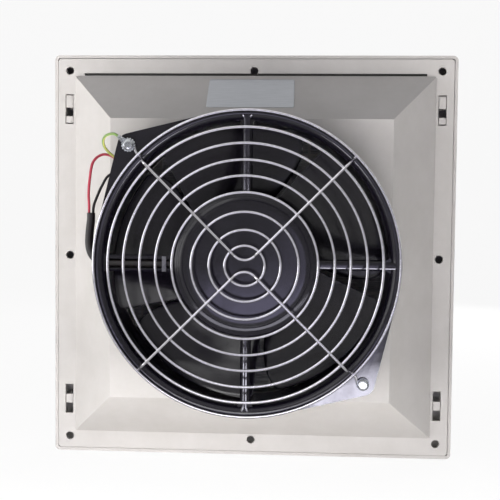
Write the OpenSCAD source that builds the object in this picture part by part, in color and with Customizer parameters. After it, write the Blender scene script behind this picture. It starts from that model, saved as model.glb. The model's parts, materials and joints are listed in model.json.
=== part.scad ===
// Filter fan unit for a cabinet wall: a moulded base with a funnel, a 220 mm axial fan
// bolted on its plateau, a wire finger guard, and a louvred cover with a filter mat outside.
//
// The finished unit has X to the right and Z up, and -Y points into the cabinet, where the
// fan is. Y = 0 is the face of the flange that lies on the cabinet wall. Every part is drawn
// in front view: X right, Y up, and Z is the height above the flange face towards the fan.
// The module facing() turns that drawing upright.

/* [Cover] */
// Width and height of the louvred cover
cover_w = 325; // [322:1:340]
// Depth of the cover outside the cabinet
cover_depth = 24; // [23:0.5:30]
// Wall of the cover
cover_wall = 2.5; // [2:0.1:3]
// Outer corner radius of the cover
cover_corner_r = 4; // [3.5:0.5:8]
// Distance from the cover's edge to the louvred field
louvre_margin = 26.5; // [25.5:0.5:40]
// Number of louvre slats
louvre_count = 14; // [8:1:16]
// Thickness of a slat
louvre_t = 2; // [1.5:0.1:2.5]
// Depth of a slat from the cover's face inwards
louvre_depth = 10; // [8:0.5:10]
// Width of the two upright bars that tie the slats
tie_bar_w = 4; // [3:0.5:8]

/* [Filter mat] */
// Distance from the foot of the funnel inwards to the mat's edge
mat_margin = 5.5; // [5:0.5:8]
// Thickness of the mat
mat_t = 10; // [8:0.5:10.3]
// Wall of the frame that keeps the mat in the cover
mat_frame_t = 2; // [1.5:0.1:2.5]
// Height of that frame above the cover's inner face
mat_frame_h = 14; // [10:0.5:16]

/* [Base] */
// Thickness of the flange
flange_t = 3; // [2.5:0.1:4]
// Wall of the funnel and plateau
base_wall = 2.5; // [2:0.1:3]
// Distance from the cover's edge to the foot of the funnel, which passes the wall cut-out
foot_margin = 17.5; // [17:0.25:18]
// Straight step at the foot of the funnel
foot_step = 1.5; // [1:0.1:3]
// How far the fan's rim reaches past the plateau on each side
rim_overhang = 2.3; // [0:0.1:3]
// Height of the plateau above the flange
plateau_h = 43.5; // [40:0.5:50]
// Height of the collar round the air opening, inside the plateau
collar_h = 4; // [2:0.5:8]
// Height of the stiffening wall behind the flange
upstand_h = 5; // [3:0.5:8]
// Thickness of the stiffening wall
upstand_t = 2; // [1.5:0.1:3]
// Distance from the flange's edge to the stiffening wall
upstand_inset = 2; // [1.5:0.1:2.5]
// Corner radius of the flange
flange_corner_r = 2.5; // [1.5:0.1:3.5]
// How far the plateau's corners are cut back along their diagonal
corner_cut = 2.2; // [1.5:0.1:3]
// How far the foot's corners are cut back along their diagonal
foot_cut = 1; // [0.5:0.1:2]
// Step that the mat grid sits on
rebate_step = 2; // [1.5:0.1:2.5]

/* [Wall fixings] */
// Distance from the cover's edge to the screw holes
screw_margin = 12.5; // [12:0.25:13]
// Screw hole diameter
screw_hole_d = 6.5; // [5:0.1:7]
// Width of a snap window
window_w = 6.5; // [6:0.1:7]
// Length of a snap window
window_l = 24; // [20:0.5:28]
// Distance from the cover's side edge to a window's middle
window_margin_x = 12; // [11.5:0.25:12.5]
// Distance from the cover's top or bottom edge to a window's middle
window_margin_z = 43.5; // [36:0.5:52]
// Width of the drip groove above the funnel
groove_w = 2; // [1.5:0.1:3]
// Depth of the drip groove
groove_depth = 1.4; // [1:0.1:2]
// Distance from the funnel's side to the end of the groove
groove_margin = 7; // [5:0.5:20]
// Distance from the foot of the funnel to the groove
groove_gap = 1; // [0.6:0.1:1.5]

/* [Mat grid] */
// Thickness of the grid
grid_t = 2.2; // [1.8:0.1:2.4]
// Width of the grid's outer frame
grid_frame_w = 7; // [5:0.5:10]
// Spacing of the upright bars
grid_pitch = 15; // [12:0.5:20]
// Width of a bar
grid_bar_w = 2; // [1.5:0.1:3]
// Number of cross bars
grid_cross_bars = 4; // [2:1:6]

/* [Rating plate] */
// Width of the blank rating plate
plate_w = 68; // [50:1:80]
// Height of the plate along the slope
plate_l = 38; // [25:1:40]
// Thickness of the plate
plate_t = 0.3; // [0.2:0.1:0.6]
// How far the plate sits to the right of the middle
plate_shift = -1.5; // [-20:0.5:20]
// How far the plate sits outside the middle of the slope
plate_lift = 3.5; // [-3:0.5:4]

/* [Fan frame] */
// Depth of the fan frame
fan_depth = 48; // [46:0.5:60]
// Air duct diameter
duct_d = 205; // [203:0.5:206]
// Wall of the round duct
duct_wall = 3.5; // [3:0.1:3.6]
// Width of the front rim round the duct
rim_w = 7.5; // [7:0.1:8]
// Radius of the rounded mouth of the duct
mouth_r = 5.5; // [4:0.1:5.8]
// Thickness of the front flange
front_flange_t = 4; // [3:0.1:4.2]
// Thickness of the rear seat ring
seat_t = 4; // [3:0.1:5]
// Width of the rear seat ring round the duct
seat_w = 4.5; // [4:0.1:5]
// Distance of an ear hole outside the rim
ear_reach = 8.75; // [8.5:0.05:9.2]
// Radius of an ear
ear_r = 8.5; // [8:0.1:9]
// Ear hole diameter
ear_hole_d = 4.8; // [4.5:0.1:5.5]
// Outer diameter of the boss between the ear faces
boss_d = 12; // [10:0.5:13]

/* [Struts] */
// Width of a plain strut
strut_w = 7.5; // [6:0.1:9]
// Width of the strut that carries the leads
lead_strut_w = 12.4; // [12:0.1:14]
// Depth of a strut
strut_depth = 9; // [8.6:0.1:9.5]
// How far the struts lie below the front face
strut_drop = 3.5; // [3.2:0.1:4]
// Width of the lead channel
channel_w = 6.8; // [6.6:0.1:7.4]
// Chamfer along the strut edges
strut_chamfer = 1.2; // [0.8:0.1:1.6]
// Width that the fillets reach at the flared mouth
fillet_w = 14; // [12:0.5:18]

/* [Motor] */
// Diameter of the motor cover
cap_d = 104; // [100:1:108]
// Height of the motor cover
cap_h = 8; // [7.5:0.1:10]
// Radius of its shoulder
cap_shoulder_r = 7; // [5:0.1:7.2]
// Wall of the motor cover
cap_wall = 2; // [1.5:0.1:2.2]
// Thickness of the motor plate under the cover
motor_plate_t = 4; // [3:0.1:5]
// Shaft diameter
shaft_d = 8; // [7.8:0.1:8.2]
// Outer diameter of the bearings
bearing_d = 22; // [21.5:0.1:22.5]
// Width of a bearing
bearing_w = 7; // [6.5:0.1:7.5]
// Wall of the bearing tube
tube_wall = 2.5; // [2:0.1:3]
// Stator diameter
stator_d = 69; // [66:0.5:70]
// Stack height of the stator
stator_l = 20; // [18:0.5:21]
// Air gap between stator and rotor
air_gap = 0.5; // [0.4:0.05:0.8]
// Thickness of the laminated ring in the rotor cup
cage_t = 8.5; // [7:0.1:9]
// Diameter of the vent holes in the rotor cup
vent_d = 9; // [7:0.5:10]
// Distance from the back of the fan frame to the rotor cup
cup_inset = 4.5; // [4:0.1:4.8]
// Distance from the back of the rotor cup to the bearing tube
tube_inset = 5; // [4.8:0.1:5.4]
// Distance from the back of the rotor cup to the stator
stator_inset = 9; // [8.8:0.1:9.4]

/* [Impeller] */
// Wall of the rotor cup
cup_wall = 2.5; // [2:0.1:3]
// Length of the rotor cup
cup_l = 29.5; // [28:0.1:30]
// Gap between the blade tips and the duct
tip_gap = 2.5; // [2:0.1:4]
// Sheet thickness of a blade
blade_t = 1.6; // [1.2:0.1:2]
// Distance from the back of the rotor cup to the blade roots
blade_inset = 2; // [1:0.1:3]
// Blade length along the axis at the root
root_rise = 24; // [20:0.5:25]
// Blade length along the axis at the tip
tip_rise = 21; // [18:0.5:24]
// Angle that a blade covers at the root
root_arc = 70; // [60:1:70]
// Angle that a blade covers at the tip
tip_arc = 62; // [54:1:66]
// Distance at which the line of a blade's straight front edge passes the axis
edge_offset = 17; // [10:1:20]
// Angle at which the line of the first blade's front edge stands at rest
edge_turn = -25; // [-36:1:36]
// Camber of a blade
blade_camber = 3.5; // [0:0.5:4.5]

/* [Finger guard] */
// Wire diameter
wire_d = 2; // [1.6:0.1:2.2]
// Distance of the outer ring's wire inside the edge of the rim
ring_inset = 1; // [0.8:0.1:2]
// Rise of the spokes from the rim to the front
guard_rise = 16; // [13:0.5:20]
// Inner radius of the bend where each spoke wire turns at the centre
spoke_bend_r = 10; // [8:0.5:12]

/* [Screws and terminals] */
// Fan screw thread diameter
thread_d = 4; // [3.6:0.1:4.2]
// Fan screw head diameter
head_d = 8; // [7.5:0.1:9]
// Fan screw head height
head_h = 2.8; // [2.4:0.1:3.4]
// Width across the flats of a nut
nut_af = 7; // [6.8:0.1:8]
// Height of a nut
nut_h = 3.2; // [2.8:0.1:4]
// Washer diameter
washer_d = 9; // [8:0.1:10]
// Washer thickness
washer_t = 0.8; // [0.6:0.1:1.2]
// Length of the terminal block
terminal_l = 15; // [14.5:0.5:17]
// Width of the terminal block
terminal_w = 9; // [8.5:0.1:9.5]
// Height of the terminal block
terminal_h = 13; // [12.8:0.1:13.2]
// Lead diameter
lead_d = 2; // [1.6:0.1:2.4]
// Diameter of the black sleeve over the motor leads
sleeve_d = 6; // [5.6:0.1:6.4]
// Diameter of the hole where the sleeve leaves the duct
sleeve_hole_d = 8; // [7.4:0.1:8.4]

/* [Clearances] */
// Gap between the cover's rim and the flange
rim_gap = 0.5; // [0.3:0.1:0.8]
// Running gap round shafts and threads
run_gap = 0.03; // [0.02:0.01:0.06]
// Small gap at welded and seated curved faces
seat_gap = 0.05; // [0.03:0.01:0.1]
// Gap round soft parts
soft_gap = 0.4; // [0.3:0.1:0.6]
// Gap round the snapped-in mat grid
grid_gap = 0.3; // [0.2:0.05:0.4]

/* [Hidden] */
eps = 0.01;
// More than any cut is deep
through = 200;

// Heights above the flange face, from the cover to the guard
cover_face = -cover_depth;
cover_inner = cover_face + cover_wall;
rim_edge = -1;
grid_bottom = -flange_t;
mat_top = grid_bottom - soft_gap;
fan_back = plateau_h;
fan_front = plateau_h + fan_depth;
strut_front = fan_front - strut_drop;
strut_back = strut_front - strut_depth;
cap_top = strut_front + cap_h;
motor_plate_back = strut_front - motor_plate_t;

// Fan frame
duct_r = duct_d / 2;
barrel_r = duct_r + duct_wall;
rim_r = duct_r + rim_w;
seat_r = duct_r + seat_w;
ear_hole_r = rim_r + ear_reach;
ear_x = ear_hole_r / sqrt(2);
ears = [[-ear_x, ear_x], [ear_x, -ear_x]];
ear_angles = [135, -45];
ear_tangent = acos((rim_r - ear_r) / ear_hole_r);
ear_web_t = 4;
// Place of the terminal block round the duct
terminal_angle = 145;
terminal_gap = 5;
lead_h = strut_front - 4.4;
channel_offset = -0.6;
// How far a strut's rounded nose is wider than the strut, so that its sides meet it at an edge
nose_ratio = 0.56;

// Base
flange_half = cover_w / 2 - cover_wall - rim_gap;
foot_half = cover_w / 2 - foot_margin;
plateau_half = rim_r - rim_overhang;
grid_half = foot_half - base_wall + rebate_step - grid_gap;
air_r = duct_r + 0.5;
slope_angle = atan2(plateau_h - foot_step, foot_half - plateau_half);
mat_half = foot_half - mat_margin;
louvre_half = cover_w / 2 - louvre_margin;
screw_half = cover_w / 2 - screw_margin;
window_x = cover_w / 2 - window_margin_x;
window_z = cover_w / 2 - window_margin_z;

// Motor and impeller
cup_back = fan_back + cup_inset;
cup_r = stator_d / 2 + air_gap + cage_t + run_gap + cup_wall;
cup_corner_r = 4;
tube_r = bearing_d / 2 + tube_wall;
tube_back = cup_back + tube_inset;
front_bearing = strut_front - bearing_w;
stator_back = cup_back + stator_inset;
boss_h = tube_back - cup_back - 1;
vent_count = 6;
vent_ring_r = (shaft_d / 2 + cup_r) / 2 + 2;
race_t = 1.7;
ball_gap = 0.1;
ball_d = bearing_d / 2 - shaft_d / 2 - 2 * race_t - 2 * ball_gap;
ball_ring_r = (bearing_d + shaft_d) / 4;
slot_count = 12;
slot_w = 5;
slot_in_r = tube_r + 4;
slot_out_r = stator_d / 2 - 2;
blade_count = 5;
blade_weld = 0.15;
blade_root_r = cup_r + blade_weld;
blade_tip_r = duct_r - tip_gap;
blade_mid = cup_back + blade_inset + root_rise / 2 + blade_camber / 2;
blade_rows = 9;
blade_columns = 12;

// Guard
wire_r = wire_d / 2;
low_wire = fan_front + wire_r + seat_gap;
outer_ring = low_wire + wire_d + seat_gap;
high_wire = low_wire + guard_rise;
ring_plane = high_wire - wire_d - seat_gap;
outer_ring_r = rim_r - ring_inset;
// Radii of the eight inner rings as shares of the outer ring's
ring_shares = [0.1284, 0.2294, 0.344, 0.4679, 0.5734, 0.6743, 0.7798, 0.8807];
ring_radii = [for (share = ring_shares) share * outer_ring_r];
ramp_in_r = ring_radii[7] + 2.5;
ramp_out_r = outer_ring_r - 1.5;
eyelet_r = ear_hole_d / 2 + wire_r + 0.2;
ear_stack = low_wire + wire_r + seat_gap;

// Routes of the leads, hand-laid on a fan of this size, in the finished unit's own axes
laid_rim_r = 110;
laid_depth = 48;
red_route = [
    [-94.6, -56.5, 66.2], [-94.6, -58.3, 66.3], [-94.8, -60.1, 67.1], [-95.2, -61.3, 68.8],
    [-96, -61.8, 71.2], [-97.2, -62.1, 73.9], [-99, -62.5, 76.6], [-101.5, -63.3, 78.9],
    [-104.7, -64.5, 80.4], [-108.2, -66, 80.6], [-111.2, -67.7, 79.1], [-113.3, -69.5, 76.3],
    [-114.6, -71.1, 73], [-115.3, -72.5, 69.5], [-115.7, -73.8, 65.8], [-115.9, -74.9, 62.1],
    [-116.1, -76, 58.3], [-116.2, -77.1, 54.6], [-116.2, -78, 50.8], [-116, -78.9, 47],
    [-115.6, -79.6, 43.2], [-115.4, -80, 39.3], [-115.4, -80, 35.4]
];
black_route = [
    [-97.5, -56.5, 62.1], [-97.5, -58.4, 62.1], [-97.8, -60.3, 62.6], [-98.8, -62.3, 63.6],
    [-100.8, -64.5, 64.3], [-103.2, -66.5, 63.5], [-105.1, -68.2, 61.4], [-106.4, -69.8, 58.7],
    [-107.5, -71.3, 55.9], [-108.6, -72.8, 53.2], [-109.5, -74.3, 50.4], [-110.4, -75.8, 47.5],
    [-111.2, -77.3, 44.6], [-111.9, -78.7, 41.8], [-112.3, -79.7, 38.7], [-112.4, -80, 35.4]
];
earth_route = [
    [-91.3, -94.6, 90.1], [-93.9, -94.6, 92.3], [-97, -93.3, 93.2], [-99.7, -91.2, 93.3],
    [-101.7, -88.5, 92.6], [-103.3, -85.6, 91.5], [-104.5, -82.7, 90], [-105.1, -79.8, 88.3],
    [-105.1, -76.9, 86.3], [-104.6, -74.2, 84.3], [-103.5, -71.7, 82.1], [-102, -69.5, 80],
    [-100.1, -67.5, 77.9], [-97.9, -65.8, 75.8], [-95.6, -64.3, 73.7], [-93.3, -62.7, 71.7],
    [-91.8, -59.9, 70.4], [-91.7, -56.5, 70.3]
];
sleeve_route = [
    [-113.9, -80, 35.4], [-113.9, -80, 30.9], [-114.4, -80, 26.5], [-114.9, -80, 22],
    [-115.2, -80.2, 17.5], [-115.1, -80.7, 13.1], [-114.3, -81.4, 9], [-112.7, -82.2, 5.4],
    [-110, -82.9, 2.3], [-106.4, -83.4, 0.3], [-102.2, -83.6, -0.5], [-97, -83.6, -0.6],
    [-86, -83.6, -0.6], [-75, -83.6, -0.6], [-64, -83.6, -0.6], [-52.2, -83.6, -0.6]
];
// A route carried over to the fan's present rim and depth
function fitted(route) = [for (p = route) [
    p[0] * rim_r / laid_rim_r,
    -plateau_h - (-p[1] - 43.5) * fan_depth / laid_depth,
    p[2] * rim_r / laid_rim_r
]];

// Turns a front view upright: Y goes up to Z, and height goes towards -Y
module facing() {
    rotate([90, 0, 0]) children();
}

// Extrudes a profile drawn as Y and height along X
module along_x(length) {
    rotate([90, 0, 90]) linear_extrude(length, center = true) children();
}

// Extrudes a profile drawn as X and height along Y
module along_y(length) {
    rotate([90, 0, 0]) linear_extrude(length, center = true) children();
}

// A square of half width h with its corners rounded to radius r
module rounded_square(h, r) {
    square([2 * h, 2 * (h - r)], center = true);
    square([2 * (h - r), 2 * h], center = true);
    for (x = [-1, 1], y = [-1, 1])
        translate([x * (h - r), y * (h - r)]) circle(r, $fn = 48);
}

// A square frame between two half widths
module square_ring(outer_half, inner_half, h) {
    linear_extrude(h) difference() {
        square(2 * outer_half, center = true);
        square(2 * inner_half, center = true);
    }
}

// A solid that narrows from a square foot to a square top with flat sides. Its four slanting
// corners are cut back along their diagonals, by foot_c at the foot and by top_c at the top.
module frustum(foot, top, h0, h1, foot_c, top_c) {
    foot_d = foot * sqrt(2) - foot_c;
    top_d = top * sqrt(2) - top_c;
    intersection() {
        along_x(2 * foot) polygon([[-foot, h0], [foot, h0], [top, h1], [-top, h1]]);
        along_y(2 * foot) polygon([[-foot, h0], [foot, h0], [top, h1], [-top, h1]]);
        for (a = [45, 135]) rotate(a)
            along_x(3 * foot) polygon([[-foot_d, h0], [foot_d, h0], [top_d, h1], [-top_d, h1]]);
    }
}

// A round disc from height h0 to h1 with its front edge rounded to radius s
module rounded_disc(r, s, h0, h1) {
    translate([0, 0, h0]) cylinder(h1 - s - h0, r = r, $fn = 120);
    translate([0, 0, h0]) cylinder(h1 - h0, r = r - s / 2, $fn = 120);
    translate([0, 0, h1 - s]) rotate_extrude($fn = 120) intersection() {
        translate([r - s, 0]) circle(s, $fn = 48);
        translate([r - s, 0]) square(s + 1);
    }
}

// A plain tube standing on height h0
module tube(outer_r, inner_r, h0, h1) {
    translate([0, 0, h0]) difference() {
        cylinder(h1 - h0, r = outer_r, $fn = 96);
        translate([0, 0, -1]) cylinder(h1 - h0 + 2, r = inner_r, $fn = 96);
    }
}

// Places a child at both ears
module at_ears() {
    for (p = ears) translate([p[0], p[1], 0]) children();
}

// Centres of the eight screw holes: four corners and four sides
module at_screw_holes() {
    for (x = [-1, 0, 1], y = [-1, 0, 1])
        if (x != 0 || y != 0) translate([x * screw_half, y * screw_half, 0]) children();
}

module at_windows() {
    for (x = [-1, 1], y = [-1, 1])
        translate([x * window_x, y * window_z, 0]) children();
}

// Base: flange, funnel and plateau moulded in one piece
module base_frame() {
    inner_cut = corner_cut - base_wall * (sqrt(2) - 1);
    upstand_half = flange_half - upstand_inset;
    color("#B9B5AB") facing() difference() {
        union() {
            translate([0, 0, -flange_t]) linear_extrude(flange_t)
                rounded_square(flange_half, flange_corner_r);
            translate([0, 0, -eps]) linear_extrude(foot_step + eps)
                square(2 * foot_half, center = true);
            frustum(foot_half, plateau_half, foot_step, plateau_h, foot_cut, corner_cut);
            translate([0, 0, -flange_t - upstand_h])
                square_ring(upstand_half, upstand_half - upstand_t, upstand_h + eps);
        }
        frustum(foot_half - base_wall, plateau_half - base_wall, -flange_t + grid_t,
            plateau_h - base_wall, 0, inner_cut);
        translate([0, 0, -flange_t - upstand_h - 1]) linear_extrude(upstand_h + 1 + grid_t)
            square(2 * (grid_half + grid_gap), center = true);
        cylinder(through, r = air_r, $fn = 180);
        at_ears() cylinder(through, d = ear_hole_d, $fn = 48);
        at_screw_holes() translate([0, 0, -through / 2]) cylinder(through, d = screw_hole_d, $fn = 48);
        at_windows() cube([window_w, window_l, through], center = true);
        translate([0, foot_half + groove_gap + groove_w / 2, -groove_depth]) linear_extrude(through)
            square([2 * (foot_half - groove_margin), groove_w], center = true);
    }
    color("#B9B5AB") facing()
        tube(air_r + base_wall / 2, air_r, plateau_h - base_wall - collar_h, plateau_h - base_wall);
}

// Grid that the mat lies against, snapped into the rebate behind the flange
module mat_grid() {
    inner = 2 * (grid_half - grid_frame_w) + 2;
    bars = floor(inner / 2 / grid_pitch);
    color("#A9A69C") facing() translate([0, 0, -flange_t]) {
        square_ring(grid_half, grid_half - grid_frame_w, grid_t);
        for (i = [-bars : bars])
            translate([i * grid_pitch - grid_bar_w / 2, -inner / 2, 0]) cube([grid_bar_w, inner, grid_t]);
        for (i = [1 : grid_cross_bars])
            translate([-inner / 2, inner * (i / (grid_cross_bars + 1) - 0.5) - grid_bar_w / 2, 0])
                cube([inner, grid_bar_w, grid_t]);
    }
}

// Blank rating plate on the upper slope of the funnel
module rating_plate() {
    mid_y = (foot_half + plateau_half) / 2 + plate_lift;
    mid_h = foot_step + (foot_half - mid_y) * tan(slope_angle);
    color("#A9A7A4") facing() translate([plate_shift, mid_y, mid_h]) rotate([-slope_angle, 0, 0])
        translate([-plate_w / 2, -plate_l / 2, 0.02]) cube([plate_w, plate_l, plate_t]);
}

// Outline of the fan's flanges: a round rim drawn out to two ears
module ear_outline() {
    circle(rim_r, $fn = 180);
    for (i = [0, 1]) {
        a = ear_angles[i];
        translate(ears[i]) circle(ear_r, $fn = 60);
        polygon([for (s = [-1, 1]) each s < 0
            ? [rim_r * [cos(a - ear_tangent), sin(a - ear_tangent)],
               ears[i] + ear_r * [cos(a - ear_tangent), sin(a - ear_tangent)]]
            : [ears[i] + ear_r * [cos(a + ear_tangent), sin(a + ear_tangent)],
               rim_r * [cos(a + ear_tangent), sin(a + ear_tangent)]]]);
    }
}

// Fillets that widen a strut where it runs into the duct wall
module strut_root(w) {
    translate([0, 0, strut_back + strut_chamfer]) linear_extrude(strut_depth - strut_chamfer)
        polygon([
            [duct_r - 4, -w / 2 + 0.5], [duct_r + 3, -fillet_w / 2],
            [duct_r + 3, fillet_w / 2], [duct_r - 4, w / 2 - 0.5]
        ]);
}

// Placement of a strut's section, drawn as Y and height, from the motor plate to the duct
module strut_length() {
    rotate([90, 0, 90]) translate([0, 0, cap_d / 2 - 3])
        linear_extrude(duct_r - cap_d / 2 + 4) children();
}

// A plain strut, lying along +X, with a rounded front
module strut() {
    w = strut_w;
    c = strut_chamfer;
    nose_r = w * nose_ratio;
    intersection() {
        strut_length() polygon([
            [-w / 2 + c, strut_back], [w / 2 - c, strut_back], [w / 2, strut_back + 2 * c],
            [w / 2, strut_front], [-w / 2, strut_front], [-w / 2, strut_back + 2 * c]
        ]);
        union() {
            strut_length() translate([-w, strut_back - 1]) square([2 * w, strut_depth + 1 - nose_r]);
            translate([cap_d / 2 - 4, 0, strut_front - nose_r]) rotate([0, 90, 0])
                cylinder(duct_r - cap_d / 2 + 6, r = nose_r, $fn = 96);
        }
    }
    strut_root(w);
}

// The wide strut that carries the leads, flat in front and chamfered along its edges
module lead_strut() {
    w = lead_strut_w;
    c = strut_chamfer;
    strut_length() polygon([
        [-w / 2 + c, strut_back], [w / 2 - c, strut_back], [w / 2, strut_back + 2 * c],
        [w / 2, strut_front - c], [w / 2 - c, strut_front], [-w / 2 + c, strut_front],
        [-w / 2, strut_front - c], [-w / 2, strut_back + 2 * c]
    ]);
    strut_root(w);
}

// The duct with its rounded mouth, to be cut out of the frame
module duct_cut() {
    bend_r = duct_r + mouth_r;
    translate([0, 0, fan_back - 1]) cylinder(fan_depth + 2, r = duct_r, $fn = 180);
    difference() {
        translate([0, 0, fan_front - mouth_r]) cylinder(mouth_r + 1, r = bend_r, $fn = 180);
        translate([0, 0, fan_front - mouth_r]) rotate_extrude($fn = 180)
            translate([bend_r, 0]) circle(mouth_r, $fn = 60);
    }
}

// Fan frame: duct, flanges with two ears, four struts and the motor plate
module fan_frame() {
    color("#141318") facing() difference() {
        union() {
            difference() {
                union() {
                    translate([0, 0, fan_front - front_flange_t]) linear_extrude(front_flange_t)
                        ear_outline();
                    translate([0, 0, fan_back]) cylinder(fan_depth - 1, r = barrel_r, $fn = 180);
                    translate([0, 0, fan_back]) cylinder(seat_t, r = seat_r, $fn = 180);
                    at_ears() translate([0, 0, fan_back]) {
                        cylinder(fan_depth - 1, d = boss_d, $fn = 48);
                        cylinder(seat_t, r = ear_r, $fn = 60);
                    }
                    for (a = ear_angles) rotate(a) translate([duct_r + 1, -ear_web_t / 2, fan_back])
                        cube([ear_hole_r - duct_r - 3, ear_web_t, fan_depth - 1]);
                }
                duct_cut();
            }
            for (a = [0, 90, 270]) rotate(a) strut();
            rotate(180) lead_strut();
            translate([0, 0, motor_plate_back]) cylinder(motor_plate_t, d = cap_d, $fn = 120);
        }
        at_ears() cylinder(through, d = ear_hole_d, $fn = 48);
        cylinder(through, r = tube_r, $fn = 96);
        // Channel in the left strut, and the hole where the sleeve leaves the duct
        translate([-duct_r + 0.5, channel_offset - channel_w / 2, lead_h - sleeve_d / 2 - 0.3])
            cube([duct_r - cap_d / 2 - 0.5, channel_w, strut_depth]);
        translate([-duct_r + 2, channel_offset, lead_h]) rotate([0, -90, 0])
            cylinder(ear_hole_r - duct_r, d = sleeve_hole_d, $fn = 48);
    }
}

// Motor cover: a pressed cap with a rounded shoulder
module motor_cover() {
    w = cap_wall;
    color("#17161B") facing() difference() {
        rounded_disc(cap_d / 2, cap_shoulder_r, strut_front, cap_top);
        rounded_disc(cap_d / 2 - w, cap_shoulder_r - w, strut_front - 1, cap_top - w);
    }
}

// Bearing tube pressed into the motor plate
module bearing_tube() {
    color("#8C8C8C") facing() difference() {
        tube(tube_r, bearing_d / 2, tube_back, strut_front);
    }
    color("#8C8C8C") facing()
        tube(bearing_d / 2 + eps, bearing_d / 2 - race_t, tube_back + bearing_w, front_bearing);
}

module stator_core() {
    color("#7A7D80") facing() translate([0, 0, stator_back]) linear_extrude(stator_l) difference() {
        circle(d = stator_d, $fn = 120);
        circle(tube_r, $fn = 96);
        for (i = [0 : slot_count - 1]) rotate(i * 360 / slot_count) {
            translate([slot_in_r, -slot_w / 2]) square([slot_out_r - slot_in_r, slot_w]);
            translate([slot_out_r - 1, -1]) square([stator_d, 2]);
        }
    }
}

module stator_windings() {
    inner = slot_in_r + 0.5;
    outer = slot_out_r - 1;
    reach = min(5, stator_back - cup_back - cup_wall - 1.5);
    color("#B4672E") facing() {
        for (h = [stator_back - 0.2 - reach, stator_back + stator_l + 0.2])
            translate([0, 0, h]) rotate_extrude($fn = 96)
                polygon([
                    [inner + 1.5, 0], [outer - 1.5, 0], [outer, 1.5], [outer, reach - 1.5],
                    [outer - 1.5, reach], [inner + 1.5, reach], [inner, reach - 1.5], [inner, 1.5]
                ]);
        for (i = [0 : slot_count - 1]) rotate(i * 360 / slot_count)
            translate([inner + 1, -slot_w / 2 + 0.2, stator_back - 1])
                cube([outer - inner - 2, slot_w - 0.4, stator_l + 2]);
    }
}

// Both bearings: outer races stay with the motor, inner races turn with the shaft
module at_bearings() {
    for (h = [tube_back, front_bearing]) translate([0, 0, h]) children();
}

module bearing_outer_races() {
    color("#C9CCD0") facing() at_bearings()
        tube(bearing_d / 2 - run_gap, bearing_d / 2 - race_t, 0, bearing_w);
}

module bearing_inner_races() {
    color("#C9CCD0") facing() at_bearings()
        tube(shaft_d / 2 + race_t, shaft_d / 2 + run_gap, 0, bearing_w);
}

module bearing_balls() {
    color("#D9DCE0") facing() at_bearings() for (a = [0 : 45 : 315])
        rotate(a) translate([ball_ring_r, 0, bearing_w / 2]) sphere(d = ball_d, $fn = 24);
}

module rotor_shaft() {
    color("#BFC3C7") facing() difference() {
        translate([0, 0, cup_back + 0.5]) cylinder(strut_front + 3 - cup_back, d = shaft_d, $fn = 64);
        tube(shaft_d, shaft_d / 2 - 0.6, strut_front + 0.3, strut_front + 1.5);
    }
}

module shaft_circlip() {
    color("#55585C") facing() difference() {
        tube(shaft_d / 2 + 2, shaft_d / 2 - 0.5, strut_front + 0.4, strut_front + 1.4);
        translate([-1.5, 0, strut_front]) cube([3, shaft_d, 3]);
    }
}

// Dished washer that preloads the rear bearing's inner race
module preload_washer() {
    r0 = shaft_d / 2 + 0.2;
    color("#8E9297") facing() translate([0, 0, cup_back + boss_h]) rotate_extrude($fn = 64)
        polygon([[r0, 0.55], [r0 + 1.4, 0.05], [r0 + 1.4, 0.4], [r0, 0.95]]);
}

// Rotor cup: open towards the motor plate, with a boss on the shaft and vent holes
module rotor_cup() {
    r = cup_r;
    s = cup_corner_r;
    color("#1B1A1F") facing() difference() {
        union() {
            rotate_extrude($fn = 120) polygon(concat(
                [[0, cup_back]],
                [for (a = [-90 : 15 : 0]) [r - s + s * cos(a), cup_back + s + s * sin(a)]],
                [[r, cup_back + cup_l], [r - cup_wall, cup_back + cup_l]],
                [[r - cup_wall, cup_back + s], [r - s, cup_back + cup_wall], [0, cup_back + cup_wall]]));
            translate([0, 0, cup_back]) cylinder(boss_h, d = shaft_d + 7, $fn = 64);
        }
        cylinder(through, d = shaft_d + 2 * run_gap, $fn = 64);
        for (i = [0 : vent_count - 1]) rotate(i * 360 / vent_count)
            translate([vent_ring_r, 0, 0]) cylinder(through, d = vent_d, $fn = 40);
    }
}

// Laminated ring with its cage, pressed into the cup
module cage_ring() {
    color("#808488") facing() tube(
        cup_r - cup_wall - run_gap, stator_d / 2 + air_gap, stator_back, cup_back + cup_l - 0.5);
}

// A blade's middle surface: u runs from root to tip and v from the back edge to the front edge
function blade_radius(u) = blade_root_r + u * (blade_tip_r - blade_root_r);
function blade_angle(u, v) =
    edge_turn + asin(edge_offset / blade_radius(u)) - (1 - v) * blade_arc(u);
function blade_rise(u) = root_rise + (tip_rise - root_rise) * u;
function blade_height(u, v) =
    blade_mid + (v - 0.5) * blade_rise(u) - blade_camber * (1 - pow(2 * v - 1, 2));
function blade_arc(u) = root_arc + (tip_arc - root_arc) * pow(u, 3);
// Height that the sheet takes up, more where it stands steeper
function blade_lift(u) =
    blade_t / 2 * norm([1, blade_rise(u) / (blade_radius(u) * blade_arc(u) * PI / 180)]);
function blade_point(u, v, side) = [
    blade_radius(u) * cos(blade_angle(u, v)),
    blade_radius(u) * sin(blade_angle(u, v)),
    blade_height(u, v) + side * blade_lift(u)
];

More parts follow.
